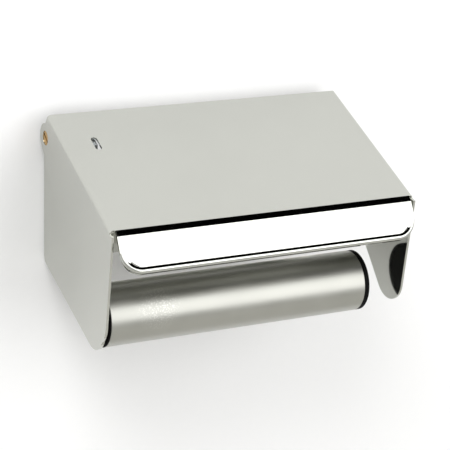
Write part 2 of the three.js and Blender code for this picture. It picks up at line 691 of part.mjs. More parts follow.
/** The open retaining ring that snaps into the spindle's groove. */
function retainingRingGeometry() {
  const innerRadius = SPINDLE_RADIUS - RING_GROOVE_DEPTH + SEAT_CLEARANCE;
  const from = RING_OPENING / 2;
  const to = Math.PI * 2 - RING_OPENING / 2;
  const shape = new THREE.Shape();
  shape.absarc(0, 0, RING_RADIUS, from, to, false);
  shape.absarc(0, 0, innerRadius, to, from, true);
  return sidePlate(shape, ringStart, ringStart + RING_THICKNESS);
}

// ---------------------------------------------------------------- latch

const latchPivot = new THREE.Vector2(-LATCH_PIVOT_FROM_WALL, LATCH_PIVOT_Z);
const clevisFloorTop = -CLEVIS_BELOW_PIN + LATCH_SHEET;
const clevisHalf = CLEVIS_GAP / 2;
const latchPinHoleRadius = LATCH_PIN_RADIUS + RUNNING_CLEARANCE;

/** A point of the hood's side view, given from the latch's pivot. */
function fromPivot(along, over) {
  return onTop(along, over).add(hinge).sub(latchPivot);
}

/** Bracket for the latch: a flange on the arm, a floor, and two sides that hold the pin. */
function latchBracketGeometry() {
  const flangeX = -sideInnerX + SEAT_CLEARANCE - slotX;
  const low = -CLEVIS_BELOW_PIN;
  const floor = clevisFloorTop;
  const high = low + CLEVIS_SIDE_HEIGHT;
  const outer = clevisHalf + LATCH_SHEET;
  const shape = new THREE.Shape([
    [flangeX, low],
    [outer, low],
    [outer, high],
    [clevisHalf, high],
    [clevisHalf, floor],
    [-clevisHalf, floor],
    [-clevisHalf, high],
    [-outer, high],
    [-outer, floor],
    [flangeX + LATCH_SHEET, floor],
    [flangeX + LATCH_SHEET, high],
    [flangeX, high],
  ].map(([x, z]) => new THREE.Vector2(x, z)));
  const comb = new THREE.ExtrudeGeometry(shape, { depth: CLEVIS_DEPTH, bevelEnabled: false })
    .rotateX(Math.PI / 2)
    .translate(0, CLEVIS_DEPTH / 2, 0);
  const pinHoleEnd = outer + CUT_OVERSHOOT;
  const pinHole = bar(LATCH_PIN_RADIUS + SEAT_CLEARANCE, -pinHoleEnd, pinHoleEnd, 32);
  return joinAndCut([comb], [pinHole]);
}

/** The latch lever: a hub on the pin, a straight shank, and a hooked head under the slot. */
function latchLeverGeometry() {
  const hubRadius = LATCH_PIN_RADIUS + LEVER_HUB_WALL;
  const headOver = -HOOD_SHEET - LEVER_UNDER_TOP;
  const headUnder = headOver - LEVER_HEAD_DEPTH;
  const headRear = noseAlong - LEVER_HEAD_LENGTH;
  const nose = fromPivot(noseAlong, headUnder);
  const ramp = fromPivot(noseAlong - LEVER_NOSE_RAMP, headOver);
  const rear = fromPivot(headRear, headOver);
  const shank = new THREE.Shape();
  const halfWidth = LEVER_WIDTH / 2;
  const throat = fromPivot(headRear + LEVER_WIDTH / 2, headUnder);
  shank.moveTo(ramp.x, ramp.y);
  shank.lineTo(rear.x, rear.y);
  shank.lineTo(halfWidth, -hubRadius / 2);
  shank.lineTo(-halfWidth, -hubRadius / 2);
  shank.lineTo(throat.x, throat.y);
  shank.lineTo(nose.x, nose.y);
  const half = LEVER_THICKNESS / 2;
  return joinAndCut(
    [sidePlate(shank, -half, half), bar(hubRadius, -half, half, 32)],
    [bar(latchPinHoleRadius, -half - CUT_OVERSHOOT, half + CUT_OVERSHOOT, 32)],
  );
}

function latchPinGeometry() {
  const headStart = clevisHalf + LATCH_SHEET + SEAT_CLEARANCE;
  const tail = -clevisHalf - LATCH_SHEET - LATCH_PIN_TAIL;
  return turned([
    [0, tail],
    [LATCH_PIN_RADIUS, tail],
    [LATCH_PIN_RADIUS, headStart],
    [LATCH_PIN_HEAD_RADIUS, headStart],
    [LATCH_PIN_HEAD_RADIUS, headStart + LATCH_PIN_HEAD],
    [0, headStart + LATCH_PIN_HEAD],
  ], 32);
}

/** The torsion spring's coil round the latch pin, from its foot's tangent to its leg's. */
class SpringCoil extends THREE.Curve {
  constructor(startX, endX) {
    super();
    this.startX = startX;
    this.endX = endX;
  }

  getPoint(share) {
    const angle = SPRING_FOOT_ANGLE * (1 - share) + 2 * Math.PI * share;
    return new THREE.Vector3(
      this.startX + (this.endX - this.startX) * share,
      SPRING_COIL_RADIUS * Math.cos(angle),
      SPRING_COIL_RADIUS * Math.sin(angle),
    );
  }
}

/** Torsion spring: a foot towards the clevis floor, the coil, and a leg hooked behind the lever. */
function latchSpringGeometry() {
  const middle = -(LEVER_THICKNESS / 2 + clevisHalf) / 2;
  const coil = new SpringCoil(middle - SPRING_WIRE_RADIUS * 1.5, middle + SPRING_WIRE_RADIUS * 1.5);
  const footTop = coil.getPoint(0);
  const footEnd = footTop.clone().add(new THREE.Vector3(
    0,
    SPRING_FOOT_LENGTH * Math.sin(SPRING_FOOT_ANGLE),
    -SPRING_FOOT_LENGTH * Math.cos(SPRING_FOOT_ANGLE),
  ));
  const legStart = coil.getPoint(1);
  const legCorner = legStart.clone().add(new THREE.Vector3(0, 0, SPRING_LEG_LENGTH));
  const bend = SPRING_WIRE_RADIUS * 3;
  const legTop = legCorner.clone().add(new THREE.Vector3(0, 0, -bend));
  const hookStart = legCorner.clone().add(new THREE.Vector3(bend, 0, 0));
  const hookEnd = legCorner.clone().add(new THREE.Vector3(LEVER_THICKNESS, 0, 0));
  const route = new THREE.CurvePath();
  route.add(new THREE.LineCurve3(footEnd, footTop));
  route.add(coil);
  route.add(new THREE.LineCurve3(legStart, legTop));
  route.add(new THREE.QuadraticBezierCurve3(legTop, legCorner, hookStart));
  route.add(new THREE.LineCurve3(hookStart, hookEnd));
  const section = new THREE.Shape();
  section.absarc(0, 0, SPRING_WIRE_RADIUS, 0, Math.PI * 2, false);
  return new THREE.ExtrudeGeometry(section, {
    steps: 60,
    curveSegments: 5,
    bevelEnabled: false,
    extrudePath: route,
  });
}

// ---------------------------------------------------------------- assembly

const holder = new THREE.Group();
holder.name = "toilet_paper_holder";
addPiece(holder, "bracket", bracketGeometry(), finishes.satinSteel);
holder.add(hingeSet(-1), hingeSet(1));

const hoodGroup = new THREE.Group();
hoodGroup.position.set(0, hingeY, hingeZ);
addPiece(hoodGroup, "hood", hoodGeometry(), finishes.polishedSteel);
addPiece(hoodGroup, "latch_keeper", keeperGeometry(), finishes.blackenedSteel);
holder.add(hoodGroup);

const rollerGroup = new THREE.Group();
rollerGroup.position.set(0, rollerAxis.x, rollerAxis.y);
addPiece(rollerGroup, "spindle", spindleGeometry(), finishes.zincSteel);
const tailHoleRadius = SPINDLE_TAIL_RADIUS + SEAT_CLEARANCE;
addPiece(
  rollerGroup,
  "spindle_washer",
  ring(tailHoleRadius, SPINDLE_WASHER_RADIUS, -sideInnerX, spindleShoulder),
  finishes.zincSteel,
);
addPiece(
  rollerGroup,
  "thrust_washer",
  ring(spindleBoreRadius, THRUST_WASHER_RADIUS, spindleShoulder + SEAT_CLEARANCE, thrustEnd),
  finishes.nylon,
);
addPiece(rollerGroup, "retaining_ring", retainingRingGeometry(), finishes.springSteel);
const tubeBore = TUBE_RADIUS - TUBE_WALL;
addPiece(
  rollerGroup,
  "roller_tube",
  ring(tubeBore, TUBE_RADIUS, tubeLeft, tubeRight),
  finishes.satinSteel,
);
addPiece(rollerGroup, "end_cap_left", leftCapGeometry(), finishes.blackPlastic);
addPiece(rollerGroup, "end_cap_right", rightCapGeometry(), finishes.blackPlastic);
holder.add(rollerGroup);

const latchGroup = new THREE.Group();
latchGroup.position.set(slotX, latchPivot.x, latchPivot.y);
addPiece(latchGroup, "latch_bracket", latchBracketGeometry(), finishes.zincSteel);
addPiece(latchGroup, "latch_lever", latchLeverGeometry(), finishes.zincSteel);
addPiece(latchGroup, "latch_pin", latchPinGeometry(), finishes.zincSteel);
addPiece(latchGroup, "latch_spring", latchSpringGeometry(), finishes.springSteel);
holder.add(latchGroup);

export default holder;
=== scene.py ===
# %% [markdown]
# # A hooded toilet paper holder
# The real holder is bent from stainless steel sheet. A bracket is screwed to the wall and carries
# a short spindle with a free-turning tube, and a polished hood hangs in front of it on two
# shoulder screws. The CAD model already fixes every size, so this lesson loads it as a frame and
# gives it its visible skin: sheet with true bend radii, soft edges and real metal finishes.

# %% Load the frame
import json
import math

import bmesh
import bpy
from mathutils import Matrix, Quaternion, Vector


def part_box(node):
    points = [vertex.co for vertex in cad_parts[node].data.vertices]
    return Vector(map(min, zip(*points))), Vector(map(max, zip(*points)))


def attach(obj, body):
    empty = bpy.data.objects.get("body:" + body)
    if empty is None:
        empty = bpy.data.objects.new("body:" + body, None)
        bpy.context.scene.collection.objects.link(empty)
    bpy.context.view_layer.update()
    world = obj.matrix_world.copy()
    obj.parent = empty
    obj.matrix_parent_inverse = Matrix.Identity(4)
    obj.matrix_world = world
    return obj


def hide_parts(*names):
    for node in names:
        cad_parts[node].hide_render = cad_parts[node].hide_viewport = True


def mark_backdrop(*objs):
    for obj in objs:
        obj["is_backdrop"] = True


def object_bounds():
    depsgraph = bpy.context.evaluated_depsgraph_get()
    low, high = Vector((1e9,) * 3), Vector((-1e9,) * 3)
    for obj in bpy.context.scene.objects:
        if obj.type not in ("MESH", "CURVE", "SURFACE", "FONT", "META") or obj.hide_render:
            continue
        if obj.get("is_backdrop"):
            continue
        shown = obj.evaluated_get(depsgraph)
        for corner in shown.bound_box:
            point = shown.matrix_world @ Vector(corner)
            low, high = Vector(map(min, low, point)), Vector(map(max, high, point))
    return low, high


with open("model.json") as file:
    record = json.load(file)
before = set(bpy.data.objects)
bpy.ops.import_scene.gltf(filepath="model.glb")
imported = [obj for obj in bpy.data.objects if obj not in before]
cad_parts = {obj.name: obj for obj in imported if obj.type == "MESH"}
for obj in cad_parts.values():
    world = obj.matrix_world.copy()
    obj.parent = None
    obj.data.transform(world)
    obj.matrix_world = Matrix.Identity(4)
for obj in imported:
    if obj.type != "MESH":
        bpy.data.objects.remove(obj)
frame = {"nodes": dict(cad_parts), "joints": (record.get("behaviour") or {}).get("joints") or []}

cad_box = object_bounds()
MM = 0.001
print("CAD box in mm:", [round(side / MM, 1) for side in cad_box[1] - cad_box[0]])

# %% [markdown]
# ## Camera
# A camera is described by the point it aims at, its bearing round that point, its distance and
# its lens. It looks from the front left and a little above, with a long lens, so that the hood's
# edges stay almost parallel.

# %% Place the camera
AIM = Vector((0.8, -40.0, -10.5)) * MM
CAMERA_LEFT = math.radians(26.63)
CAMERA_UP = math.radians(18.77)
CAMERA_ROLL = math.radians(2.23)
CAMERA_DISTANCE = 719.4 * MM
CAMERA_LENS = 132.2
SENSOR_WIDTH = 36.0

towards_camera = Vector((
    -math.sin(CAMERA_LEFT) * math.cos(CAMERA_UP),
    -math.cos(CAMERA_LEFT) * math.cos(CAMERA_UP),
    math.sin(CAMERA_UP),
))
bpy.ops.object.camera_add(location=AIM + towards_camera * CAMERA_DISTANCE)
camera = bpy.context.object
camera.rotation_mode = "QUATERNION"
camera.rotation_quaternion = (
    (-towards_camera).to_track_quat("-Z", "Y") @ Quaternion((0, 0, 1), CAMERA_ROLL)
)
camera.data.lens = CAMERA_LENS
camera.data.sensor_width = SENSOR_WIDTH
camera.data.clip_start = 10 * MM
bpy.context.scene.camera = camera
print("camera at", [round(value, 3) for value in camera.location])

# %% [markdown]
# ## Tools for shaping
# Modelling by operators means: select something, then act on it. An operator acts on all that is
# selected, so everything is deselected first, and `pick` then selects faces, edges or points by
# where they are. Outlines are drawn as a draughtsman would: start at a point, draw lines and
# arcs, close the loop and fill it. Sizes in a mesh are never exact, so a few small distances
# say how close two places have to be to count as the same.

# %% How close counts as the same
ON_PLANE = 0.01 * MM
SAME_POINT = 0.002 * MM
SEAM = 0.005 * MM
SAME_TURN = 0.002
print("points closer than", SAME_POINT / MM, "mm are merged")

# %% Small helpers to start, pick and finish
def deselect():
    """Leaves edit mode and deselects every object."""
    if bpy.context.object and bpy.context.object.mode != "OBJECT":
        bpy.ops.object.mode_set(mode="OBJECT")
    bpy.ops.object.select_all(action="DESELECT")


def take(piece):
    """Makes one piece the selected and active object."""
    deselect()
    piece.select_set(True)
    bpy.context.view_layer.objects.active = piece
    return piece


def named(name):
    """Names the new active object, writes its place into its mesh and opens it for editing."""
    piece = take(bpy.context.object)
    piece.name = name
    piece.data.name = name
    bpy.ops.object.transform_apply(location=True, rotation=True, scale=True)
    bpy.ops.object.mode_set(mode="EDIT")
    bpy.ops.mesh.select_all(action="SELECT")
    return piece


def middle_of(part):
    """The place of a point, or the middle of an edge's or a face's corners."""
    corners = [part] if isinstance(part, bmesh.types.BMVert) else part.verts
    return sum((corner.co for corner in corners), Vector()) / len(corners)


def pick(piece, kind, test):
    """Selects the points, edges or faces whose middle passes the test, and counts them."""
    bpy.ops.mesh.select_mode(type=kind)
    bpy.ops.mesh.select_all(action="DESELECT")
    shape = bmesh.from_edit_mesh(piece.data)
    parts = {"VERT": shape.verts, "EDGE": shape.edges, "FACE": shape.faces}[kind]
    chosen = [part for part in parts if test(middle_of(part))]
    for part in chosen:
        part.select_set(True)
    shape.select_flush_mode()
    bmesh.update_edit_mesh(piece.data)
    return len(chosen)


def extrude(by):
    """Pulls new faces or edges out of what is selected."""
    bpy.ops.mesh.extrude_region_move(TRANSFORM_OT_translate={"value": by})


def modify(piece, kind, **settings):
    """Adds a modifier with its settings and applies it."""
    take(piece)
    modifier = piece.modifiers.new(kind.lower(), kind)
    for setting, value in settings.items():
        setattr(modifier, setting, value)
    bpy.ops.object.modifier_apply(modifier=modifier.name)


# %% Helpers that draw an outline
def start_outline(name, at):
    """Adds a plane and merges it to the one point where an outline starts."""
    deselect()
    bpy.ops.mesh.primitive_plane_add(size=MM, location=at)
    piece = named(name)
    bpy.ops.mesh.select_mode(type="VERT")
    bpy.ops.mesh.merge(type="CENTER")
    return piece


def line_by(step):
    """Draws a straight line on from the outline's last point."""
    bpy.ops.mesh.extrude_vertices_move(TRANSFORM_OT_translate={"value": step})


def sweep(centre, axis, angle, steps):
    """Sweeps what is selected round an axis. Spin turns the other way, hence the minus."""
    bpy.ops.mesh.spin(steps=steps, angle=-angle, center=centre, axis=axis)


def arc(centre, axis, angle, step=math.radians(5)):
    """Draws an arc from the outline's last point, in pieces of about one step."""
    sweep(centre, axis, angle, max(2, round(abs(angle) / step)))


def close_outline():
    """Joins the last point to the first and fills the outline."""
    bpy.ops.mesh.select_all(action="SELECT")
    bpy.ops.mesh.remove_doubles(threshold=SAME_POINT)
    bpy.ops.mesh.edge_face_add()


def tangent(first, first_radius, second, second_radius, turn):
    """Bearing of the outer line that touches two circles in the side view, as a (y, z) angle."""
    between = second - first
    lean = math.acos((first_radius - second_radius) / between.length)
    return math.atan2(between.z, between.y) + turn * lean


def bearing(angle):
    """The direction at that angle in the side view, from +Y towards +Z."""
    return Vector((0, math.cos(angle), math.sin(angle)))


# %% [markdown]
# ## Tools for finishing
# No sheared or folded edge is knife-sharp: a tenth of a millimetre of rounding catches a thin
# line of light. A bevel makes the rounding, and weighted normals keep the large flats truly flat,
# which matters on polished steel because a mirror shows the smallest bend.

# %% Round the edges, set the normals, join piece and body
SHARP_ANGLE = math.radians(35)
FLAT_WEIGHT = 80


def soften(piece, width, segments=2):
    """Rounds every sharp edge and weights the normals by face area."""
    modify(
        piece, "BEVEL", width=width, segments=segments, limit_method="ANGLE",
        angle_limit=SHARP_ANGLE, use_clamp_overlap=True,
    )
    bpy.ops.object.shade_smooth()
    modify(piece, "WEIGHTED_NORMAL", weight=FLAT_WEIGHT, keep_sharp=False)


def install(piece, body, node, material):
    """Gives the piece its finish, lets it ride on its body and stand for its CAD node."""
    deselect()
    piece.data.materials.clear()
    piece.data.materials.append(material)
    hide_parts(node)
    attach(piece, body)
    print(f"{piece.name}: {len(piece.data.polygons)} faces, finish {material.name}")


def cut(piece, *cutters):
    """Cuts the cutters out of the piece and removes them."""
    take(cutters[0])
    for cutter in cutters:
        cutter.select_set(True)
    if len(cutters) > 1:
        bpy.ops.object.join()
    cutter = bpy.context.object
    modify(piece, "BOOLEAN", operation="DIFFERENCE", solver="EXACT", object=cutter)
    bpy.data.objects.remove(cutter)


def rod(name, radius, start, end, around=64):
    """A cylinder along X between two places, as a start for turned pieces and cutters."""
    deselect()
    bpy.ops.mesh.primitive_cylinder_add(
        vertices=around, radius=radius, depth=(end - start).length,
        location=(start + end) / 2, rotation=(0, math.pi / 2, 0),
    )
    return named(name)


def turn_end(piece, end_x, steps):
    """Turns one end face of a rod: each step is an inset and then a rise along X, in mm."""
    pick(piece, "FACE", lambda middle: abs(middle.x - end_x) < ON_PLANE)
    for inset, rise in steps:
        bpy.ops.mesh.inset(thickness=inset * MM, use_even_offset=True)
        if rise:
            extrude((rise * MM, 0, 0))


# %% [markdown]
# ## Finishes
# Each finish starts from the real metal or plastic. One function adds a node with its settings
# and links. Patterns read Object coordinates, which are metres from the middle of the wall plate,
# so a scale of 1000 is one cycle per millimetre.

# %% Colours and the node helper
def colour(code):
    """An sRGB hex colour as linear RGBA."""
    channels = [int(code[place:place + 2], 16) / 255 for place in (0, 2, 4)]
    linear = [c / 12.92 if c <= 0.04045 else ((c + 0.055) / 1.055) ** 2.4 for c in channels]
    return (*linear, 1.0)


def node(tree, kind, inputs=None, **settings):
    """Adds a node, sets its settings, and gives each named input a value or a link."""
    made = tree.nodes.new("ShaderNode" + kind)
    for setting, value in settings.items():
        setattr(made, setting, value)
    for name, value in (inputs or {}).items():
        if isinstance(value, bpy.types.NodeSocket):
            tree.links.new(value, made.inputs[name])
        else:
            made.inputs[name].default_value = value
    return made


def start_finish(name):
    """An empty node material, its tree, and the place where its patterns start."""
    material = bpy.data.materials.new(name)
    material.use_nodes = True
    tree = material.node_tree
    tree.nodes.clear()
    return material, tree, node(tree, "TexCoord").outputs["Object"]


PER_MM = 1000
NOISE_LOW, NOISE_HIGH = 0.3, 0.7
print("a pattern with scale", PER_MM, "repeats once in every millimetre")

# %% [markdown]
# ### Mirror-polished stainless steel
# Hood and bracket are stainless sheet, polished on a buffing wheel: a mirror of a slightly warm,
# greenish grey. Buffing leaves hair-fine lines along the length and the sheet is never perfectly
# flat, so reflections waver a little. The real lines are 0.02 mm apart, too fine to show, so they
# are drawn at 0.3 mm.

# %% Mirror-polished stainless
def mirror_stainless():
    material, tree, place = start_finish("mirror_polished_stainless")
    along = node(tree, "Mapping", {
        "Vector": place, "Scale": (0.05 * PER_MM, 3 * PER_MM, 3 * PER_MM),
    })
    lines = node(tree, "TexNoise", {"Vector": along.outputs["Vector"], "Scale": 1.0})
    haze = node(tree, "TexNoise", {"Vector": place, "Scale": 0.03 * PER_MM, "Detail": 4.0})
    swell = node(tree, "TexNoise", {"Vector": place, "Scale": 0.06 * PER_MM, "Detail": 1.0})
    both = node(tree, "Math", {0: lines.outputs["Fac"], 1: haze.outputs["Fac"]},
                operation="MULTIPLY")
    rough = node(tree, "MapRange", {
        "Value": both.outputs["Value"], "From Min": 0.1, "From Max": 0.45,
        "To Min": 0.04, "To Max": 0.1,
    })
    tint = node(tree, "Mix", {
        0: haze.outputs["Fac"], 6: colour("BFC0BA"), 7: colour("C5C6C0"),
    }, data_type="RGBA")
    waver = node(tree, "Bump", {"Height": swell.outputs["Fac"], "Distance": 0.03 * MM})
    shader = node(tree, "BsdfPrincipled", {
        "Base Color": tint.outputs[2], "Metallic": 1.0,
        "Roughness": rough.outputs["Result"], "Normal": waver.outputs["Normal"],
    })
    node(tree, "OutputMaterial", {"Surface": shader.outputs["BSDF"]})
    return material


mirror_steel = mirror_stainless()
print("made", mirror_steel.name)

# %% [markdown]
# ### Satin stainless steel
# The tube is finished on an abrasive belt, which leaves a fine silky grain round it, so its
# reflections are wide soft bands. The real scratches are less than 0.1 mm apart, too fine to show,
# so they are drawn at 0.3 mm. Near the tube's left end is a small patch of pale specks, each about
# half a millimetre across, where it has been rubbed.

# %% Satin stainless for the tube
SCUFF_PLACE = Vector((-44.0, -72.0, -30.5)) * MM


def satin_stainless():
    material, tree, place = start_finish("belt_satin_stainless")
    along = node(tree, "Mapping", {
        "Vector": place, "Scale": (3 * PER_MM, 0.3 * PER_MM, 0.3 * PER_MM),
    })
    grain = node(tree, "TexNoise", {"Vector": along.outputs["Vector"], "Scale": 1.0})
    mottle = node(tree, "TexNoise", {"Vector": place, "Scale": 0.08 * PER_MM})
    specks = node(tree, "TexNoise", {"Vector": place, "Scale": 1.6 * PER_MM, "Detail": 1.0})
    away = node(tree, "VectorMath", {0: place, 1: SCUFF_PLACE}, operation="DISTANCE")
    near = node(tree, "MapRange", {
        "Value": away.outputs["Value"], "From Min": 4 * MM, "From Max": 11 * MM,
        "To Min": 1.0, "To Max": 0.0,
    })
    bright = node(tree, "MapRange", {
        "Value": specks.outputs["Fac"], "From Min": 0.54, "From Max": 0.6,
    })
    scuff = node(tree, "Math", {0: near.outputs["Result"], 1: bright.outputs["Result"]},
                 operation="MULTIPLY")
    rough = node(tree, "MapRange", {
        "Value": mottle.outputs["Fac"], "From Min": NOISE_LOW, "From Max": NOISE_HIGH,
        "To Min": 0.35, "To Max": 0.4,
    })
    tint = node(tree, "Mix", {
        0: mottle.outputs["Fac"], 6: colour("AAAAA4"), 7: colour("B5B5AF"),
    }, data_type="RGBA")
    worn = node(tree, "Mix", {
        0: scuff.outputs["Value"], 6: tint.outputs[2], 7: colour("C6C6C0"),
    }, data_type="RGBA")
    silk = node(tree, "Bump", {"Height": grain.outputs["Fac"], "Distance": 0.0006 * MM})
    shader = node(tree, "BsdfPrincipled", {
        "Base Color": worn.outputs[2], "Metallic": 1.0,
        "Roughness": rough.outputs["Result"], "Normal": silk.outputs["Normal"],
    })
    node(tree, "OutputMaterial", {"Surface": shader.outputs["BSDF"]})
    return material


satin_steel = satin_stainless()
print("made", satin_steel.name)

# %% [markdown]
# ### Plated, spring and blackened steel, brass
# Zinc plating is bluish and slightly cloudy, spring steel is darker and oiled, and the welded
# catch is blackened by heat. The hinge screws are brass, browner in places. What tells these
# metals apart is their shade, their gloss and the size of their clouds.

# %% Cloudy metals
def cloudy_metal(name, dark, light, dull, bright, clouds_per_mm):
    material, tree, place = start_finish(name)
    cloud = node(tree, "TexNoise", {
        "Vector": place, "Scale": clouds_per_mm * PER_MM, "Detail": 5.0,
    })
    rough = node(tree, "MapRange", {
        "Value": cloud.outputs["Fac"], "From Min": NOISE_LOW, "From Max": NOISE_HIGH,
        "To Min": bright, "To Max": dull,
    })
    tint = node(tree, "Mix", {
        0: cloud.outputs["Fac"], 6: colour(dark), 7: colour(light),
    }, data_type="RGBA")
    shader = node(tree, "BsdfPrincipled", {
        "Base Color": tint.outputs[2], "Metallic": 1.0, "Roughness": rough.outputs["Result"],
    })
    node(tree, "OutputMaterial", {"Surface": shader.outputs["BSDF"]})
    return material


zinc_plate = cloudy_metal("zinc_plated_steel", "9EA2A6", "BCC0C4", 0.4, 0.25, 0.4)
spring_steel = cloudy_metal("oiled_spring_steel", "55575A", "77797C", 0.4, 0.25, 0.8)
black_steel = cloudy_metal("heat_blackened_steel", "1E1C1A", "35322F", 0.55, 0.35, 0.6)
turned_brass = cloudy_metal("turned_brass", "A67C3A", "CFAA66", 0.38, 0.2, 0.5)
print("made", [m.name for m in (zinc_plate, spring_steel, black_steel, turned_brass)])

# %% [markdown]
# ### Moulded plastics
# The tube's end caps are matt black acetal with the fine spark-eroded texture of their mould,
# about 0.15 mm across, which kills most of the shine. The washers are natural nylon, a warm
# off-white that is slightly waxy.

# %% Black acetal and natural nylon
def moulded(name, dark, light, dull, shine, grain_per_mm, depth):
    material, tree, place = start_finish(name)
    grain = node(tree, "TexNoise", {"Vector": place, "Scale": grain_per_mm * PER_MM})
    cloud = node(tree, "TexNoise", {"Vector": place, "Scale": 0.1 * PER_MM, "Detail": 3.0})
    rough = node(tree, "MapRange", {
        "Value": cloud.outputs["Fac"], "From Min": NOISE_LOW, "From Max": NOISE_HIGH,
        "To Min": dull - 0.06, "To Max": dull + 0.06,
    })
    tint = node(tree, "Mix", {
        0: cloud.outputs["Fac"], 6: colour(dark), 7: colour(light),
    }, data_type="RGBA")
    texture = node(tree, "Bump", {"Height": grain.outputs["Fac"], "Distance": depth})
    shader = node(tree, "BsdfPrincipled", {
        "Base Color": tint.outputs[2], "Roughness": rough.outputs["Result"],
        "Specular IOR Level": shine, "Normal": texture.outputs["Normal"],
    })
    node(tree, "OutputMaterial", {"Surface": shader.outputs["BSDF"]})
    return material


black_acetal = moulded("moulded_black_acetal", "060606", "0E0E0E", 0.55, 0.06, 6, 0.008 * MM)
natural_nylon = moulded("natural_nylon", "DEDACC", "E9E6DC", 0.45, 0.5, 4, 0.004 * MM)
print("made", [m.name for m in (black_acetal, natural_nylon)])

# %% [markdown]
# ## The hood's side view
# All of the hood's outline follows from a few sizes: the slope of the top, how far the lip flares
# out, the bend radii, and the circles round the hinge and at the cheek's tip. "Along" runs down
# the top towards the front and "over" is square to it.

# %% The hood's sizes and places
joints = {joint["name"]: joint for joint in frame["joints"]}
HINGE = Vector(joints["hood_hinge"]["pos_m"])
HALF_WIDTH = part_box("hood")[1].x
HOOD_SHEET = 1.0 * MM
TOP_SLOPE = math.radians(22)
REAR_EDGE = HINGE + Vector((0, -2.4, 10.75)) * MM
HOOD_REACH = 75.1 * MM
SIDE_FOLD = 1.6 * MM
FRONT_FOLD = 4.6 * MM
LIP_FLARE = math.radians(30)
LIP_LENGTH = 17.4 * MM
LIP_CORNER = 9.0 * MM
HALF_LIP = HALF_WIDTH - 2.2 * MM
EAR_RADIUS = 6.4 * MM
TIP = HINGE + Vector((0, -60.65, -59.45)) * MM
TIP_RADIUS = 10.4 * MM

ACROSS = Vector((1, 0, 0))
ALONG = Vector((0, -math.cos(TOP_SLOPE), -math.sin(TOP_SLOPE)))
OVER = Vector((0, -math.sin(TOP_SLOPE), math.cos(TOP_SLOPE)))
LIP_DOWN = Vector((0, -math.sin(LIP_FLARE), -math.cos(LIP_FLARE)))
LIP_BACK = Vector((0, math.cos(LIP_FLARE), -math.sin(LIP_FLARE)))


def on_top(along, over):
    """A place beside the top, measured along it from its rear edge and square to it."""
    return REAR_EDGE + ALONG * along + OVER * over


top_length = (HOOD_REACH + REAR_EDGE.y - HINGE.y) / math.cos(TOP_SLOPE)
front_corner = on_top(top_length, 0)
fold_turn = math.pi / 2 - LIP_FLARE - TOP_SLOPE
fold_tangent = FRONT_FOLD * math.tan(fold_turn / 2)
top_flat = top_length - fold_tangent
fold_x = HALF_WIDTH - SIDE_FOLD
print(f"top {top_length / MM:.1f} mm long, front fold turns {math.degrees(fold_turn):.0f} degrees")

# %% [markdown]
# ## Folding the hood
# A press brake bends flat sheet round a radius. The same thing is done here to a plane: the edge
# that leads into a bend is spun round the bend's axis, and the flat beyond is extruded from it.
# Only the outer skin is drawn. The Solidify modifier gives it the sheet's thickness at the end,
# which keeps inner and outer radii one sheet apart, as in real bends.

# %% Draw the top, its front fold and the lip
FRONT_FOLD_STEPS = 12
LIP_CORNER_STEPS = 14


def down_the_lip(point):
    """How far a place is down the lip from the corner that top and lip would meet in."""
    return (point - front_corner).dot(LIP_DOWN)


deselect()
bpy.ops.mesh.primitive_plane_add(
    size=1, location=on_top(top_flat / 2, 0), rotation=(TOP_SLOPE, 0, 0),
)
bpy.context.object.scale = (2 * fold_x, top_flat, 1)
hood = named("hood_skin")
for side in (-1, 1):
    bpy.ops.mesh.select_all(action="SELECT")
    bpy.ops.mesh.bisect(plane_co=ACROSS * side * HALF_LIP, plane_no=ACROSS)
front_y = on_top(top_flat, 0).y
pick(hood, "EDGE", lambda m: abs(m.y - front_y) < ON_PLANE and abs(m.x) < MM)
sweep(on_top(top_flat, -FRONT_FOLD), ACROSS, fold_turn, FRONT_FOLD_STEPS)
extrude(LIP_DOWN * (LIP_LENGTH - fold_tangent))
pick(hood, "VERT", lambda m: down_the_lip(m) > LIP_LENGTH - ON_PLANE)
bpy.ops.mesh.bevel(
    offset=LIP_CORNER, offset_type="OFFSET", segments=LIP_CORNER_STEPS, profile=0.5,
    affect="VERTICES",
)
print("lip drawn:", len(bmesh.from_edit_mesh(hood.data).faces), "faces")

# %% [markdown]
# ## Side folds and cheeks
# The two side folds are spun from the top's long edges. Each cheek is drawn as an outline: along
# the fold, down the front edge, round the tip, up to the ear and back. The tip and the ear are
# true arcs, and the straight edges touch them at their tangent points.

# %% Spin the side folds
SIDE_FOLD_STEPS = 8

for side in (-1, 1):
    pick(hood, "EDGE", lambda m: abs(m.x - side * fold_x) < ON_PLANE)
    fold_axis = on_top(0, -SIDE_FOLD) + ACROSS * side * fold_x
    sweep(fold_axis, ALONG, -side * math.pi / 2, SIDE_FOLD_STEPS)
widest = max(abs(v.co.x) for v in bmesh.from_edit_mesh(hood.data).verts)
print(f"width over the folds {2 * widest / MM:.2f} mm")

# %% A helper that joins the sides to a skin
def join_skin(skin, sides, on_flat, outward):
    """Joins the sides to a folded skin, merges the seams and turns all faces outward."""
    take(skin)
    for piece in sides:
        piece.select_set(True)
    bpy.ops.object.join()
    bpy.ops.object.mode_set(mode="EDIT")
    bpy.ops.mesh.select_all(action="SELECT")
    bpy.ops.mesh.remove_doubles(threshold=SEAM)
    bpy.ops.mesh.normals_make_consistent(inside=False)
    pick(skin, "FACE", on_flat)
    flat = [face for face in bmesh.from_edit_mesh(skin.data).faces if face.select][0]
    if flat.normal.dot(outward) < 0:
        bpy.ops.mesh.select_all(action="SELECT")
        bpy.ops.mesh.flip_normals()
    bpy.ops.object.mode_set(mode="OBJECT")
    print(f"{skin.name}: {len(skin.data.polygons)} faces")


# %% Draw the two cheeks
FINE_ARC_STEP = math.radians(4)
fold_end = front_corner + LIP_DOWN * fold_tangent
rear_angle = tangent(HINGE, EAR_RADIUS, TIP, TIP_RADIUS, 1)
front_angle = tangent(TIP, TIP_RADIUS, fold_end, 0, 1)


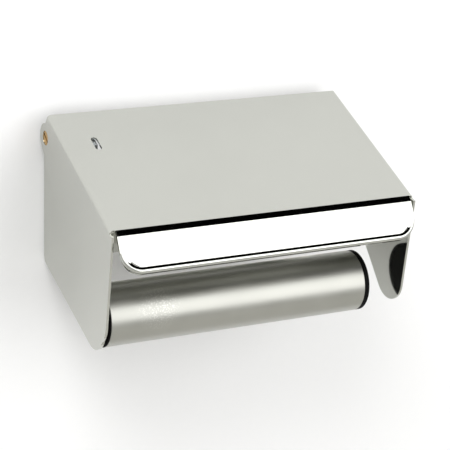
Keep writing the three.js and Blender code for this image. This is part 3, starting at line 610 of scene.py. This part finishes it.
def draw_cheek(side):
    """One cheek's outer face, from the rear end of its fold and back to it."""
    out = ACROSS * side * HALF_WIDTH
    rear = on_top(0, -SIDE_FOLD)
    front = on_top(top_flat, -SIDE_FOLD)
    tip_start = TIP + bearing(front_angle) * TIP_RADIUS
    tip_end = TIP + bearing(rear_angle) * TIP_RADIUS
    ear_start = HINGE + bearing(rear_angle) * EAR_RADIUS
    cheek = start_outline(f"cheek_{side}", rear + out)
    line_by(front - rear)
    line_by(fold_end - front)
    line_by(tip_start - fold_end)
    arc(TIP, ACROSS, (rear_angle - front_angle) % math.tau, FINE_ARC_STEP)
    line_by(ear_start - tip_end)
    arc(HINGE, ACROSS, (math.pi / 2 - rear_angle) % math.tau)
    line_by(rear - HINGE - bearing(math.pi / 2) * EAR_RADIUS)
    close_outline()
    return cheek


join_skin(
    hood, [draw_cheek(side) for side in (-1, 1)],
    lambda m: abs((m - REAR_EDGE).dot(OVER)) < ON_PLANE and abs(m.x) < MM, OVER,
)

# %% [markdown]
# ## From skin to sheet
# Solidify gives the skin the sheet's thickness on the inside.
#
# The lip's free edge is then folded back on itself, so that paper tears along a smooth, stiff rim
# and not along raw sheet. The rim runs along the bottom and dies away up the two rounded corners.
# A band is inset on the back of the lip, pushed back and flattened towards its ends. The front
# edge is rounded by a bevel whose width falls off in the same way.

# %% Thicken the sheet and fold back the rim
RIM_RADIUS = 1.6 * MM
RIM_DEPTH = 3.0 * MM
RIM_BAND = 4.0 * MM
RIM_FADE = math.radians(60)
BELOW_FOLD = 5.0 * MM
NEARLY = 0.1 * MM
corner_x = HALF_LIP - LIP_CORNER
corner_start = LIP_LENGTH - LIP_CORNER


def behind_lip(point):
    """How far a place is behind the lip's front face."""
    return (point - front_corner).dot(LIP_BACK)


def corner_reach(point):
    """How far a place is from the middle of the lip's corner, or below the corner's start."""
    aside = max(0.0, abs(point.x) - corner_x)
    return math.hypot(aside, down_the_lip(point) - corner_start)


def corner_turn(point):
    """The angle round the lip's corner, from 0 at its side to a right angle at its bottom."""
    aside = max(0.0, abs(point.x) - corner_x)
    return round(math.atan2(down_the_lip(point) - corner_start, aside), 3)


def rim_share(turn):
    """How much of the rim there is at a turn round the corner, from 0 to 1."""
    share = min(1.0, max(0.0, turn / RIM_FADE))
    return share * share * (3 - 2 * share)


def pick_band(kind, depth, reach, turn=None):
    """Picks what lies in the rim's band at a depth, all of it or only at one turn."""
    return pick(hood, kind, lambda m: (
        abs(behind_lip(m) - depth) < ON_PLANE and corner_reach(m) > reach
        and abs(m.x) < HALF_LIP + NEARLY and corner_turn(m) > -SAME_TURN
        and (turn is None or abs(corner_turn(m) - turn) < SAME_TURN)
    ))


modify(hood, "SOLIDIFY", thickness=HOOD_SHEET, offset=-1.0, use_even_offset=True)
bpy.ops.object.mode_set(mode="EDIT")
pick(hood, "FACE", lambda m: (
    abs(behind_lip(m) - HOOD_SHEET) < ON_PLANE and abs(m.x) < MM and down_the_lip(m) > BELOW_FOLD
))
bpy.ops.mesh.inset(thickness=RIM_BAND)
band_faces = pick_band("FACE", HOOD_SHEET, LIP_CORNER - RIM_BAND)
extrude(LIP_BACK * (RIM_DEPTH - HOOD_SHEET))
pick_band("VERT", RIM_DEPTH, 0)
turns = sorted({corner_turn(v.co) for v in bmesh.from_edit_mesh(hood.data).verts if v.select})
for turn in turns:
    pick_band("VERT", RIM_DEPTH, 0, turn)
    missing = (RIM_DEPTH - HOOD_SHEET) * (1 - rim_share(turn))
    bpy.ops.transform.translate(value=-LIP_BACK * missing)
bpy.ops.mesh.select_all(action="SELECT")
bpy.ops.mesh.remove_doubles(threshold=SAME_POINT)
print("rim band:", band_faces, "faces, lowered at", len(turns), "turns")

# %% [markdown]
# Where the flat lip meets the folded rim, the press tool leaves a shallow crease. It is less than
# half a millimetre deep, but its lower side faces up and mirrors the dark card over the holder,
# so on polished steel it reads as a black line along the rim. Three insets draw its lower edge,
# its floor and its upper edge, and then the floor is pushed in.

# %% Crease the lip along the rim
CREASE_DEPTH = 0.45 * MM
CREASE_SIDE = 0.95 * MM
CREASE_FROM_EDGE = 1.7 * MM

pick(hood, "FACE", lambda m: (
    abs(behind_lip(m)) < ON_PLANE and abs(m.x) < MM and down_the_lip(m) > BELOW_FOLD
))
bpy.ops.mesh.inset(thickness=CREASE_FROM_EDGE)
bpy.ops.mesh.inset(thickness=CREASE_SIDE)
bpy.ops.mesh.inset(thickness=CREASE_SIDE)
floor_reach = LIP_CORNER - CREASE_FROM_EDGE - CREASE_SIDE
shape = bmesh.from_edit_mesh(hood.data)
floor_turns = sorted({
    corner_turn(v.co) for v in shape.verts
    if abs(behind_lip(v.co)) < ON_PLANE and abs(corner_reach(v.co) - floor_reach) < 2 * ON_PLANE
    and corner_turn(v.co) > 0
})
for turn in floor_turns:
    pick(hood, "VERT", lambda m: (
        abs(behind_lip(m)) < ON_PLANE and abs(corner_reach(m) - floor_reach) < 2 * ON_PLANE
        and abs(corner_turn(m) - turn) < SAME_TURN
    ))
    bpy.ops.transform.translate(value=LIP_BACK * CREASE_DEPTH * rim_share(turn))
print("crease lowered at", len(floor_turns), "turns")

# %% Round the rim
RAW_EDGE_SHARE = 0.06
RIM_STEPS = 8

pick_band("EDGE", 0, LIP_CORNER - NEARLY)
edges = [edge for edge in bmesh.from_edit_mesh(hood.data).edges if edge.select]
turns = sorted({corner_turn(middle_of(edge)) for edge in edges})
for turn in turns:
    pick_band("EDGE", 0, LIP_CORNER - NEARLY, turn)
    width_share = RAW_EDGE_SHARE + (1 - RAW_EDGE_SHARE) * rim_share(turn)
    bpy.ops.transform.edge_bevelweight(value=width_share)
modify(
    hood, "BEVEL", width=RIM_RADIUS, segments=RIM_STEPS, limit_method="WEIGHT",
    offset_type="OFFSET", use_clamp_overlap=False,
)
print("rim rounded along", len(edges), "edges")

# %% [markdown]
# ## Holes in the hood
# The hinge holes and the small slot for the latch are punched with Boolean cutters, and a fine
# bevel breaks every edge.

# %% Punch and soften the hood
SLOT_LENGTH = 8.4 * MM
SLOT_WIDTH = 2.8 * MM
SLOT_X = -HALF_WIDTH + 14.3 * MM
SLOT_ALONG = 22.0 * MM
HEAD_RADIUS = 3.1 * MM
RUNNING_GAP = 0.06 * MM
HOOD_ROUNDING = 0.13 * MM
PUNCH_LENGTH = 8.0 * MM
PAST_CHEEKS = ACROSS * 80 * MM


def slot_cutter(name, at, length, width, stretch, lean):
    """A cylinder whose halves are pulled apart, so that it cuts a slot with round ends."""
    deselect()
    bpy.ops.mesh.primitive_cylinder_add(
        vertices=32, radius=width / 2, depth=PUNCH_LENGTH, location=at, rotation=lean,
    )
    cutter = named(name)
    for side in (-1, 1):
        pick(cutter, "VERT", lambda m: side * (m - at).dot(stretch) > ON_PLANE)
        bpy.ops.transform.translate(value=stretch * side * (length - width) / 2)
    return cutter


cut(
    hood,
    rod("hinge_holes", HEAD_RADIUS + RUNNING_GAP, HINGE - PAST_CHEEKS, HINGE + PAST_CHEEKS),
    slot_cutter(
        "latch_slot", on_top(SLOT_ALONG, 0) + ACROSS * SLOT_X, SLOT_LENGTH, SLOT_WIDTH,
        ALONG, (TOP_SLOPE, 0, 0),
    ),
)
soften(hood, HOOD_ROUNDING)
install(hood, "hood", "hood", mirror_steel)

# %% [markdown]
# ## The bracket
# The bracket is a second folded sheet: a wall plate, a long arm on the left that carries the
# roller, and a short lug on the right for the second hinge screw. It is drawn in the same way,
# from its outer skin at the wall.

# %% Draw the wall plate and spin its folds
BRACKET_SHEET = 1.2 * MM
BRACKET_FOLD = 1.8 * MM
BRACKET_FOLD_STEPS = 6
PLATE_HEIGHT = 64.0 * MM
PLATE_CORNER = 5.75 * MM
REAR_CORNER = 2.5 * MM
PLATE_CORNER_STEPS = 8
LUG_HEIGHT = 30.0 * MM
ROLLER = Vector(joints["roller_spin"]["pos_m"])
SIDE_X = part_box("bracket")[1].x
half_plate = SIDE_X - BRACKET_FOLD
fold_bottom = -PLATE_HEIGHT / 2 + REAR_CORNER
lug_bottom = HINGE.z - LUG_HEIGHT

deselect()
bpy.ops.mesh.primitive_plane_add(size=1, location=(0, 0, 0), rotation=(-math.pi / 2, 0, 0))
bpy.context.object.scale = (2 * half_plate, PLATE_HEIGHT, 1)
bracket = named("bracket_skin")
for end, radius in ((1, PLATE_CORNER), (-1, REAR_CORNER)):
    pick(bracket, "VERT", lambda m: end * m.z > PLATE_HEIGHT / 2 - MM)
    bpy.ops.mesh.bevel(
        offset=radius, segments=PLATE_CORNER_STEPS, profile=0.5, affect="VERTICES",
    )
bpy.ops.mesh.select_all(action="SELECT")
bpy.ops.mesh.bisect(plane_co=(0, 0, lug_bottom), plane_no=(0, 0, 1))
for side, low in ((-1, fold_bottom), (1, lug_bottom)):
    pick(bracket, "EDGE", lambda m: abs(m.x - side * half_plate) < ON_PLANE and m.z > low)
    sweep(
        (side * half_plate, -BRACKET_FOLD, 0), (0, 0, 1), -side * math.pi / 2, BRACKET_FOLD_STEPS,
    )
print("wall plate with folds:", len(bmesh.from_edit_mesh(bracket.data).faces), "faces")

# %% Draw the arm and the lug
ARM_TIP = ROLLER + Vector((0, 0, -2.4)) * MM
ARM_TIP_RADIUS = 11.6 * MM
ARM_SETBACK = 3.0 * MM
COARSE_ARC_STEP = math.radians(10)
rear_turn = math.acos((-HINGE.y - BRACKET_FOLD) / EAR_RADIUS)
over_angle = math.pi / 2 + TOP_SLOPE
rear_up = HINGE + bearing(rear_turn) * EAR_RADIUS


def draw_arm():
    """The left arm: up the fold, round the hinge, forward under the top, down to the spindle."""
    corner = Vector((0, -BRACKET_FOLD - REAR_CORNER, fold_bottom))
    bottom_angle = tangent(corner, REAR_CORNER, ARM_TIP, ARM_TIP_RADIUS, 1)
    over_hinge = (REAR_EDGE - HINGE).dot(OVER)
    front_top = on_top(top_flat - ARM_SETBACK, EAR_RADIUS - over_hinge)
    front_angle = tangent(ARM_TIP, ARM_TIP_RADIUS, front_top, 0, 1)
    tip_start = ARM_TIP + bearing(front_angle) * ARM_TIP_RADIUS
    tip_end = ARM_TIP + bearing(bottom_angle) * ARM_TIP_RADIUS
    corner_start_point = corner + bearing(bottom_angle) * REAR_CORNER
    arm = start_outline("arm", Vector((-SIDE_X, -BRACKET_FOLD, fold_bottom)))
    # The fold has points at the lug's foot and at its own top, level with the hinge. The outline
    # stops at both, so that the two edges merge without a gap.
    line_by((0, 0, lug_bottom - fold_bottom))
    line_by((0, 0, HINGE.z - lug_bottom))
    line_by((0, 0, rear_up.z - HINGE.z))
    arc(HINGE, ACROSS, over_angle - rear_turn)
    line_by(front_top - HINGE - bearing(over_angle) * EAR_RADIUS)
    line_by(tip_start - front_top)
    arc(ARM_TIP, ACROSS, (bottom_angle - front_angle) % math.tau)
    line_by(corner_start_point - tip_end)
    arc(corner, ACROSS, (-bottom_angle) % math.tau, COARSE_ARC_STEP)
    close_outline()
    return arm


def draw_lug():
    """The right lug: up the fold, round the hinge, and down a straight edge to its foot."""
    foot = Vector((0, -BRACKET_FOLD - BRACKET_SHEET, lug_bottom))
    front_angle = tangent(HINGE, EAR_RADIUS, foot, 0, -1)
    lug = start_outline("lug", Vector((SIDE_X, -BRACKET_FOLD, lug_bottom)))
    line_by((0, 0, HINGE.z - lug_bottom))
    line_by((0, 0, rear_up.z - HINGE.z))
    arc(HINGE, ACROSS, (front_angle - rear_turn) % math.tau)
    line_by(foot - HINGE - bearing(front_angle) * EAR_RADIUS)
    close_outline()
    return lug


TOWARDS_WALL = Vector((0, 1, 0))

join_skin(
    bracket, [draw_arm(), draw_lug()],
    lambda m: abs(m.y) < ON_PLANE and abs(m.x) < half_plate / 2, TOWARDS_WALL,
)

# %% Thicken, punch and soften the bracket
SHANK_RADIUS = 1.95 * MM
FREE_GAP = 0.15 * MM
TAIL_RADIUS = 3.0 * MM
SEAT_GAP = 0.05 * MM
HOLES_X = 45.0 * MM
HOLES_Z = 19.0 * MM
WALL_HOLE = 5.0 * MM
WALL_SLOT = 10.0 * MM
BRACKET_ROUNDING = 0.12 * MM
SQUARE_TO_WALL = (math.pi / 2, 0, 0)
INSIDE_ARM = ACROSS * 60 * MM

modify(bracket, "SOLIDIFY", thickness=BRACKET_SHEET, offset=-1.0, use_even_offset=True)
wall_cutters = [
    slot_cutter(
        f"wall_hole_{side}_{length / MM:.0f}", Vector((side * HOLES_X, 0, z)), length, WALL_HOLE,
        ACROSS, SQUARE_TO_WALL,
    )
    for z, length in ((HOLES_Z, WALL_SLOT), (-HOLES_Z, WALL_HOLE))
    for side in (-1, 1)
]
screw_holes = rod(
    "screw_holes", SHANK_RADIUS + FREE_GAP, HINGE - PAST_CHEEKS, HINGE + PAST_CHEEKS, 48,
)
tail_hole = rod(
    "tail_hole", TAIL_RADIUS + SEAT_GAP, ROLLER - PAST_CHEEKS, ROLLER - INSIDE_ARM, 48,
)
cut(bracket, screw_holes, tail_hole, *wall_cutters)
soften(bracket, BRACKET_ROUNDING)
install(bracket, "frame", "bracket", mirror_steel)

# %% [markdown]
# ## The roller
# The roller is a thin steel tube with a black cap pressed into each end. The tube starts as an
# open cylinder and gets its wall from Solidify. The caps are turned: inset the end face, push it
# in or pull it out, and repeat, which is how a lathe would step the same diameters.

# %% Make the tube
TUBE_WALL = 0.8 * MM
TUBE_ROUNDING = 0.2 * MM
tube_low, tube_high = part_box("roller_tube")
tube_radius = (tube_high.z - tube_low.z) / 2
deselect()
bpy.ops.mesh.primitive_cylinder_add(
    vertices=160, radius=tube_radius, depth=tube_high.x - tube_low.x, end_fill_type="NOTHING",
    location=((tube_low.x + tube_high.x) / 2, ROLLER.y, ROLLER.z), rotation=(0, math.pi / 2, 0),
)
tube = named("roller_tube_skin")
modify(tube, "SOLIDIFY", thickness=TUBE_WALL, offset=-1.0, use_even_offset=True)
soften(tube, TUBE_ROUNDING, segments=3)
install(tube, "roller", "roller_tube", satin_steel)

# %% [markdown]
# Both caps share the spigot that is pressed into the tube and the hub that runs on the spindle.
# The left one is recessed outside for the washer on the arm. The right one is closed, and its
# face is dished inside a rim and has a low round boss in the middle.

# %% Turn the end caps
CAP_RADIUS = tube_radius / MM
CAP_WALL = 1.8
CAP_ROUNDING = 0.25 * MM
SPIGOT_RADIUS = CAP_RADIUS - 0.85
SPIGOT_LENGTH = 10.0
HUB_RADIUS = 6.5
HUB_LENGTH = 8.5
BORE_RADIUS = 4.06
BORE_DEPTH = 6.0
RECESS_RADIUS = 10.0
RECESS_DEPTH = 1.3
FACE_RIM = 1.4
DISH_DEPTH = 0.35
DISH_LOOP = 0.3
BOSS_RADIUS = 4.25
BOSS_HEIGHT = 0.25
LEFT_WEB_DEPTH = 2.2
RIGHT_WEB_DEPTH = 0.3


def end_cap(side, outer_steps, web_depth):
    """A cap's rim as a short rod, stepped outside, with spigot, web, hub and bore inside."""
    low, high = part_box(f"end_cap_{side}")
    outer_x, inner_x = (low.x, tube_low.x) if side == "left" else (high.x, tube_high.x)
    start, end = sorted((outer_x, inner_x))
    cap = rod(
        f"end_cap_{side}_skin", tube_radius, Vector((start, ROLLER.y, ROLLER.z)),
        Vector((end, ROLLER.y, ROLLER.z)), 128,
    )
    inward = 1 if side == "left" else -1
    inner_steps = [
        (CAP_RADIUS - SPIGOT_RADIUS, SPIGOT_LENGTH),
        (CAP_WALL, web_depth - SPIGOT_LENGTH),
        (SPIGOT_RADIUS - CAP_WALL - HUB_RADIUS, HUB_LENGTH - web_depth),
        (HUB_RADIUS - BORE_RADIUS, -BORE_DEPTH),
    ]
    turn_end(cap, outer_x, [(inset, inward * rise) for inset, rise in outer_steps])
    turn_end(cap, inner_x, [(inset, inward * rise) for inset, rise in inner_steps])
    soften(cap, CAP_ROUNDING, segments=3)
    install(cap, "roller", f"end_cap_{side}", black_acetal)


dish_width = CAP_RADIUS - FACE_RIM - DISH_LOOP - BOSS_RADIUS
face_steps = [(FACE_RIM, DISH_DEPTH), (DISH_LOOP, 0), (dish_width, -BOSS_HEIGHT)]
end_cap("right", face_steps, RIGHT_WEB_DEPTH)
end_cap("left", [(CAP_RADIUS - RECESS_RADIUS, RECESS_DEPTH)], LEFT_WEB_DEPTH)

# %% [markdown]
# ## Hinge screws
# The hood turns on two brass shoulder screws. Each is turned from a rod: a wide flat head that
# fills the hole in the cheek, a thinner shank behind it, and a slot sawn across the head.

# %% Turn and slot the hinge screws
SCREW_SLOT_TURN = math.radians(35)
SCREW_SLOT_DEPTH = 0.6 * MM
SCREW_SLOT_WIDTH = 0.8 * MM
SCREW_ROUNDING = 0.12 * MM


def hinge_screw(side):
    """One screw, on the left with side -1 and on the right with side 1."""
    name = "left" if side < 0 else "right"
    low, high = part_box(f"hinge_screw_{name}")
    head_x, end_x = (low.x, high.x) if side < 0 else (high.x, low.x)
    shoulder_x = side * SIDE_X
    axis = Vector((0, HINGE.y, HINGE.z))
    places = sorted((head_x, shoulder_x))
    screw = rod(
        f"hinge_screw_{name}_skin", HEAD_RADIUS, axis + ACROSS * places[0],
        axis + ACROSS * places[1],
    )
    turn_end(screw, shoulder_x, [((HEAD_RADIUS - SHANK_RADIUS) / MM, (end_x - shoulder_x) / MM)])
    deselect()
    bpy.ops.mesh.primitive_cube_add(size=1, location=axis + ACROSS * head_x)
    bpy.context.object.scale = (2 * SCREW_SLOT_DEPTH, 4 * HEAD_RADIUS, SCREW_SLOT_WIDTH)
    bpy.context.object.rotation_euler = (SCREW_SLOT_TURN, 0, 0)
    cut(screw, named(f"driver_slot_{name}"))
    soften(screw, SCREW_ROUNDING)
    install(screw, "frame", f"hinge_screw_{name}", turned_brass)


for side in (-1, 1):
    hinge_screw(side)

# %% [markdown]
# ## Hardware that keeps its CAD shape
# Washers, nuts, the spindle and the latch already have their true shape in the frame. They keep
# it, and get live modifiers that weld the loose triangles, round the sharp edges a little and
# smooth the turned faces, with a finish for each.

# %% Finish the frame's own hardware
HARDWARE = {
    "hinge_washer_left": natural_nylon, "hinge_washer_right": natural_nylon,
    "thrust_washer": natural_nylon,
    "hinge_lock_washer_left": spring_steel, "hinge_lock_washer_right": spring_steel,
    "retaining_ring": spring_steel, "latch_spring": spring_steel,
    "hinge_nut_left": zinc_plate, "hinge_nut_right": zinc_plate,
    "spindle": zinc_plate, "spindle_washer": zinc_plate,
    "latch_bracket": zinc_plate, "latch_lever": zinc_plate, "latch_pin": zinc_plate,
    "latch_keeper": black_steel,
}
NO_ROUNDING = {"latch_spring"}
HARDWARE_ROUNDING = 0.08 * MM

deselect()
for name, material in HARDWARE.items():
    part = frame["nodes"][name]
    part.material_slots[0].material = material
    part.data.polygons.foreach_set("use_smooth", [True] * len(part.data.polygons))
    weld = part.modifiers.new("weld", "WELD")
    weld.merge_threshold = SAME_POINT
    if name not in NO_ROUNDING:
        rounding = part.modifiers.new("rounding", "BEVEL")
        rounding.width = HARDWARE_ROUNDING
        rounding.segments = 2
        rounding.limit_method = "ANGLE"
        rounding.angle_limit = SHARP_ANGLE
    part.modifiers.new("flat_faces", "WEIGHTED_NORMAL").weight = FLAT_WEIGHT
print("hardware finished:", len(HARDWARE), "pieces")

# %% [markdown]
# ## Wall, floor and light
# The holder hangs on a plain white wall over a pale floor. The wall has an opening behind the
# wall plate and can be looked through from behind, so that the back of the holder can be seen.
# Polished steel shows its surroundings, so the light is set as a product photographer would: a
# large soft light in front on the right, a smaller one above on the left, an even pale room, and
# a black card over the holder that gives the front fold and the crease their crisp black lines.

# %% Wall and floor
def stage_paint(name, dark, light):
    """Matt emulsion paint, very slightly uneven, that is clear when seen from behind."""
    material, tree, place = start_finish(name)
    nap = node(tree, "TexNoise", {"Vector": place, "Scale": 0.3 * PER_MM, "Detail": 4.0})
    tint = node(tree, "Mix", {
        0: nap.outputs["Fac"], 6: colour(dark), 7: colour(light),
    }, data_type="RGBA")
    orange_peel = node(tree, "Bump", {"Height": nap.outputs["Fac"], "Distance": 0.01 * MM})
    shader = node(tree, "BsdfPrincipled", {
        "Base Color": tint.outputs[2], "Roughness": 0.9, "Normal": orange_peel.outputs["Normal"],
    })
    clear = node(tree, "BsdfTransparent")
    side = node(tree, "NewGeometry")
    both = node(tree, "MixShader", {
        0: side.outputs["Backfacing"], 1: shader.outputs["BSDF"], 2: clear.outputs["BSDF"],
    })
    node(tree, "OutputMaterial", {"Surface": both.outputs["Shader"]})
    return material


ROOM_WIDTH = 5.0
WALL_HEIGHT = 2.4
FLOOR_Z = -0.9
BEHIND_PLATE = 0.2 * MM
opening_x = half_plate - MM
opening_z = PLATE_HEIGHT / 2 - 2 * MM

deselect()
bpy.ops.mesh.primitive_plane_add(
    size=1, location=(0, BEHIND_PLATE, FLOOR_Z + WALL_HEIGHT / 2), rotation=(math.pi / 2, 0, 0),
)
bpy.context.object.scale = (ROOM_WIDTH, WALL_HEIGHT, 1)
wall = named("wall")
for half, direction in ((opening_x, ACROSS), (opening_z, Vector((0, 0, 1)))):
    for side in (-1, 1):
        bpy.ops.mesh.select_all(action="SELECT")
        bpy.ops.mesh.bisect(plane_co=direction * side * half, plane_no=direction)
pick(wall, "FACE", lambda m: abs(m.x) < opening_x and abs(m.z) < opening_z)
bpy.ops.mesh.delete(type="FACE")
bpy.ops.object.mode_set(mode="OBJECT")
wall.data.materials.append(stage_paint("white_wall_emulsion", "F5F5F5", "F7F7F7"))

deselect()
bpy.ops.mesh.primitive_plane_add(size=1, location=(0, 0, FLOOR_Z))
bpy.context.object.scale = (ROOM_WIDTH, ROOM_WIDTH, 1)
floor = named("floor")
bpy.ops.object.mode_set(mode="OBJECT")
floor.data.materials.append(stage_paint("pale_floor_paint", "CDCCC7", "D1D0CB"))
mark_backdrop(wall, floor)
print("wall opening", round(2 * opening_x / MM), "by", round(2 * opening_z / MM), "mm")


# %% Two soft lights
def soft_light(name, at, width, height, watts):
    """A soft rectangular light, with its size in metres, aimed at the middle of the holder."""
    deselect()
    bpy.ops.object.light_add(type="AREA", location=at)
    light = bpy.context.object
    light.name = name
    light.data.shape = "RECTANGLE"
    light.data.size = width
    light.data.size_y = height
    light.data.energy = watts
    light.rotation_euler = (LIGHT_AIM - Vector(at)).to_track_quat("-Z", "Y").to_euler()


LIGHT_AIM = Vector((0, -40.0, 0)) * MM
soft_light("key_softbox", (0.8, -1.5, 0.42), width=1.3, height=1.5, watts=12)
soft_light("left_softbox", (-0.65, -0.85, 1.35), width=0.8, height=0.8, watts=14)


# %% A black card that only shows in reflections
def black_velvet():
    """Velvet swallows nearly all light. Its nap lies in tufts about two millimetres across."""
    material, tree, place = start_finish("black_velvet")
    nap = node(tree, "TexNoise", {"Vector": place, "Scale": 0.5 * PER_MM})
    tint = node(tree, "Mix", {
        0: nap.outputs["Fac"], 6: colour("020202"), 7: colour("080808"),
    }, data_type="RGBA")
    shader = node(tree, "BsdfPrincipled", {
        "Base Color": tint.outputs[2], "Roughness": 1.0, "Specular IOR Level": 0.0,
    })
    node(tree, "OutputMaterial", {"Surface": shader.outputs["BSDF"]})
    return material


CARD_PLACE = (0.125, -0.15, 0.2)
CARD_WIDTH = 0.25
CARD_DEPTH = 0.3

deselect()
bpy.ops.mesh.primitive_plane_add(size=1, location=CARD_PLACE)
bpy.context.object.scale = (CARD_WIDTH, CARD_DEPTH, 1)
card = named("ceiling_card")
bpy.ops.object.mode_set(mode="OBJECT")
card.data.materials.append(black_velvet())
card.visible_camera = False
card.visible_diffuse = False
card.visible_shadow = False
card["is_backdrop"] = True
print("card of", CARD_WIDTH, "by", CARD_DEPTH, "m over the holder")

# %% An even, pale room
ROOM_LIGHT = 0.74

world = bpy.data.worlds.new("pale_room")
bpy.context.scene.world = world
world.use_nodes = True
background = world.node_tree.nodes["Background"]
background.inputs["Color"].default_value = colour("FAFAFA")
background.inputs["Strength"].default_value = ROOM_LIGHT
bpy.context.scene.view_settings.view_transform = "Standard"
bpy.context.scene.view_settings.exposure = 0.0
print("room light strength", ROOM_LIGHT)

# %% [markdown]
# ## Both sizes
# The CAD model's box and the visible model's box are printed side by side.

# %% Print both boxes
visual_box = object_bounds()
for label, box in (("CAD", cad_box), ("visual", visual_box)):
    print(label, "size in mm:", [round(side / MM, 2) for side in box[1] - box[0]])
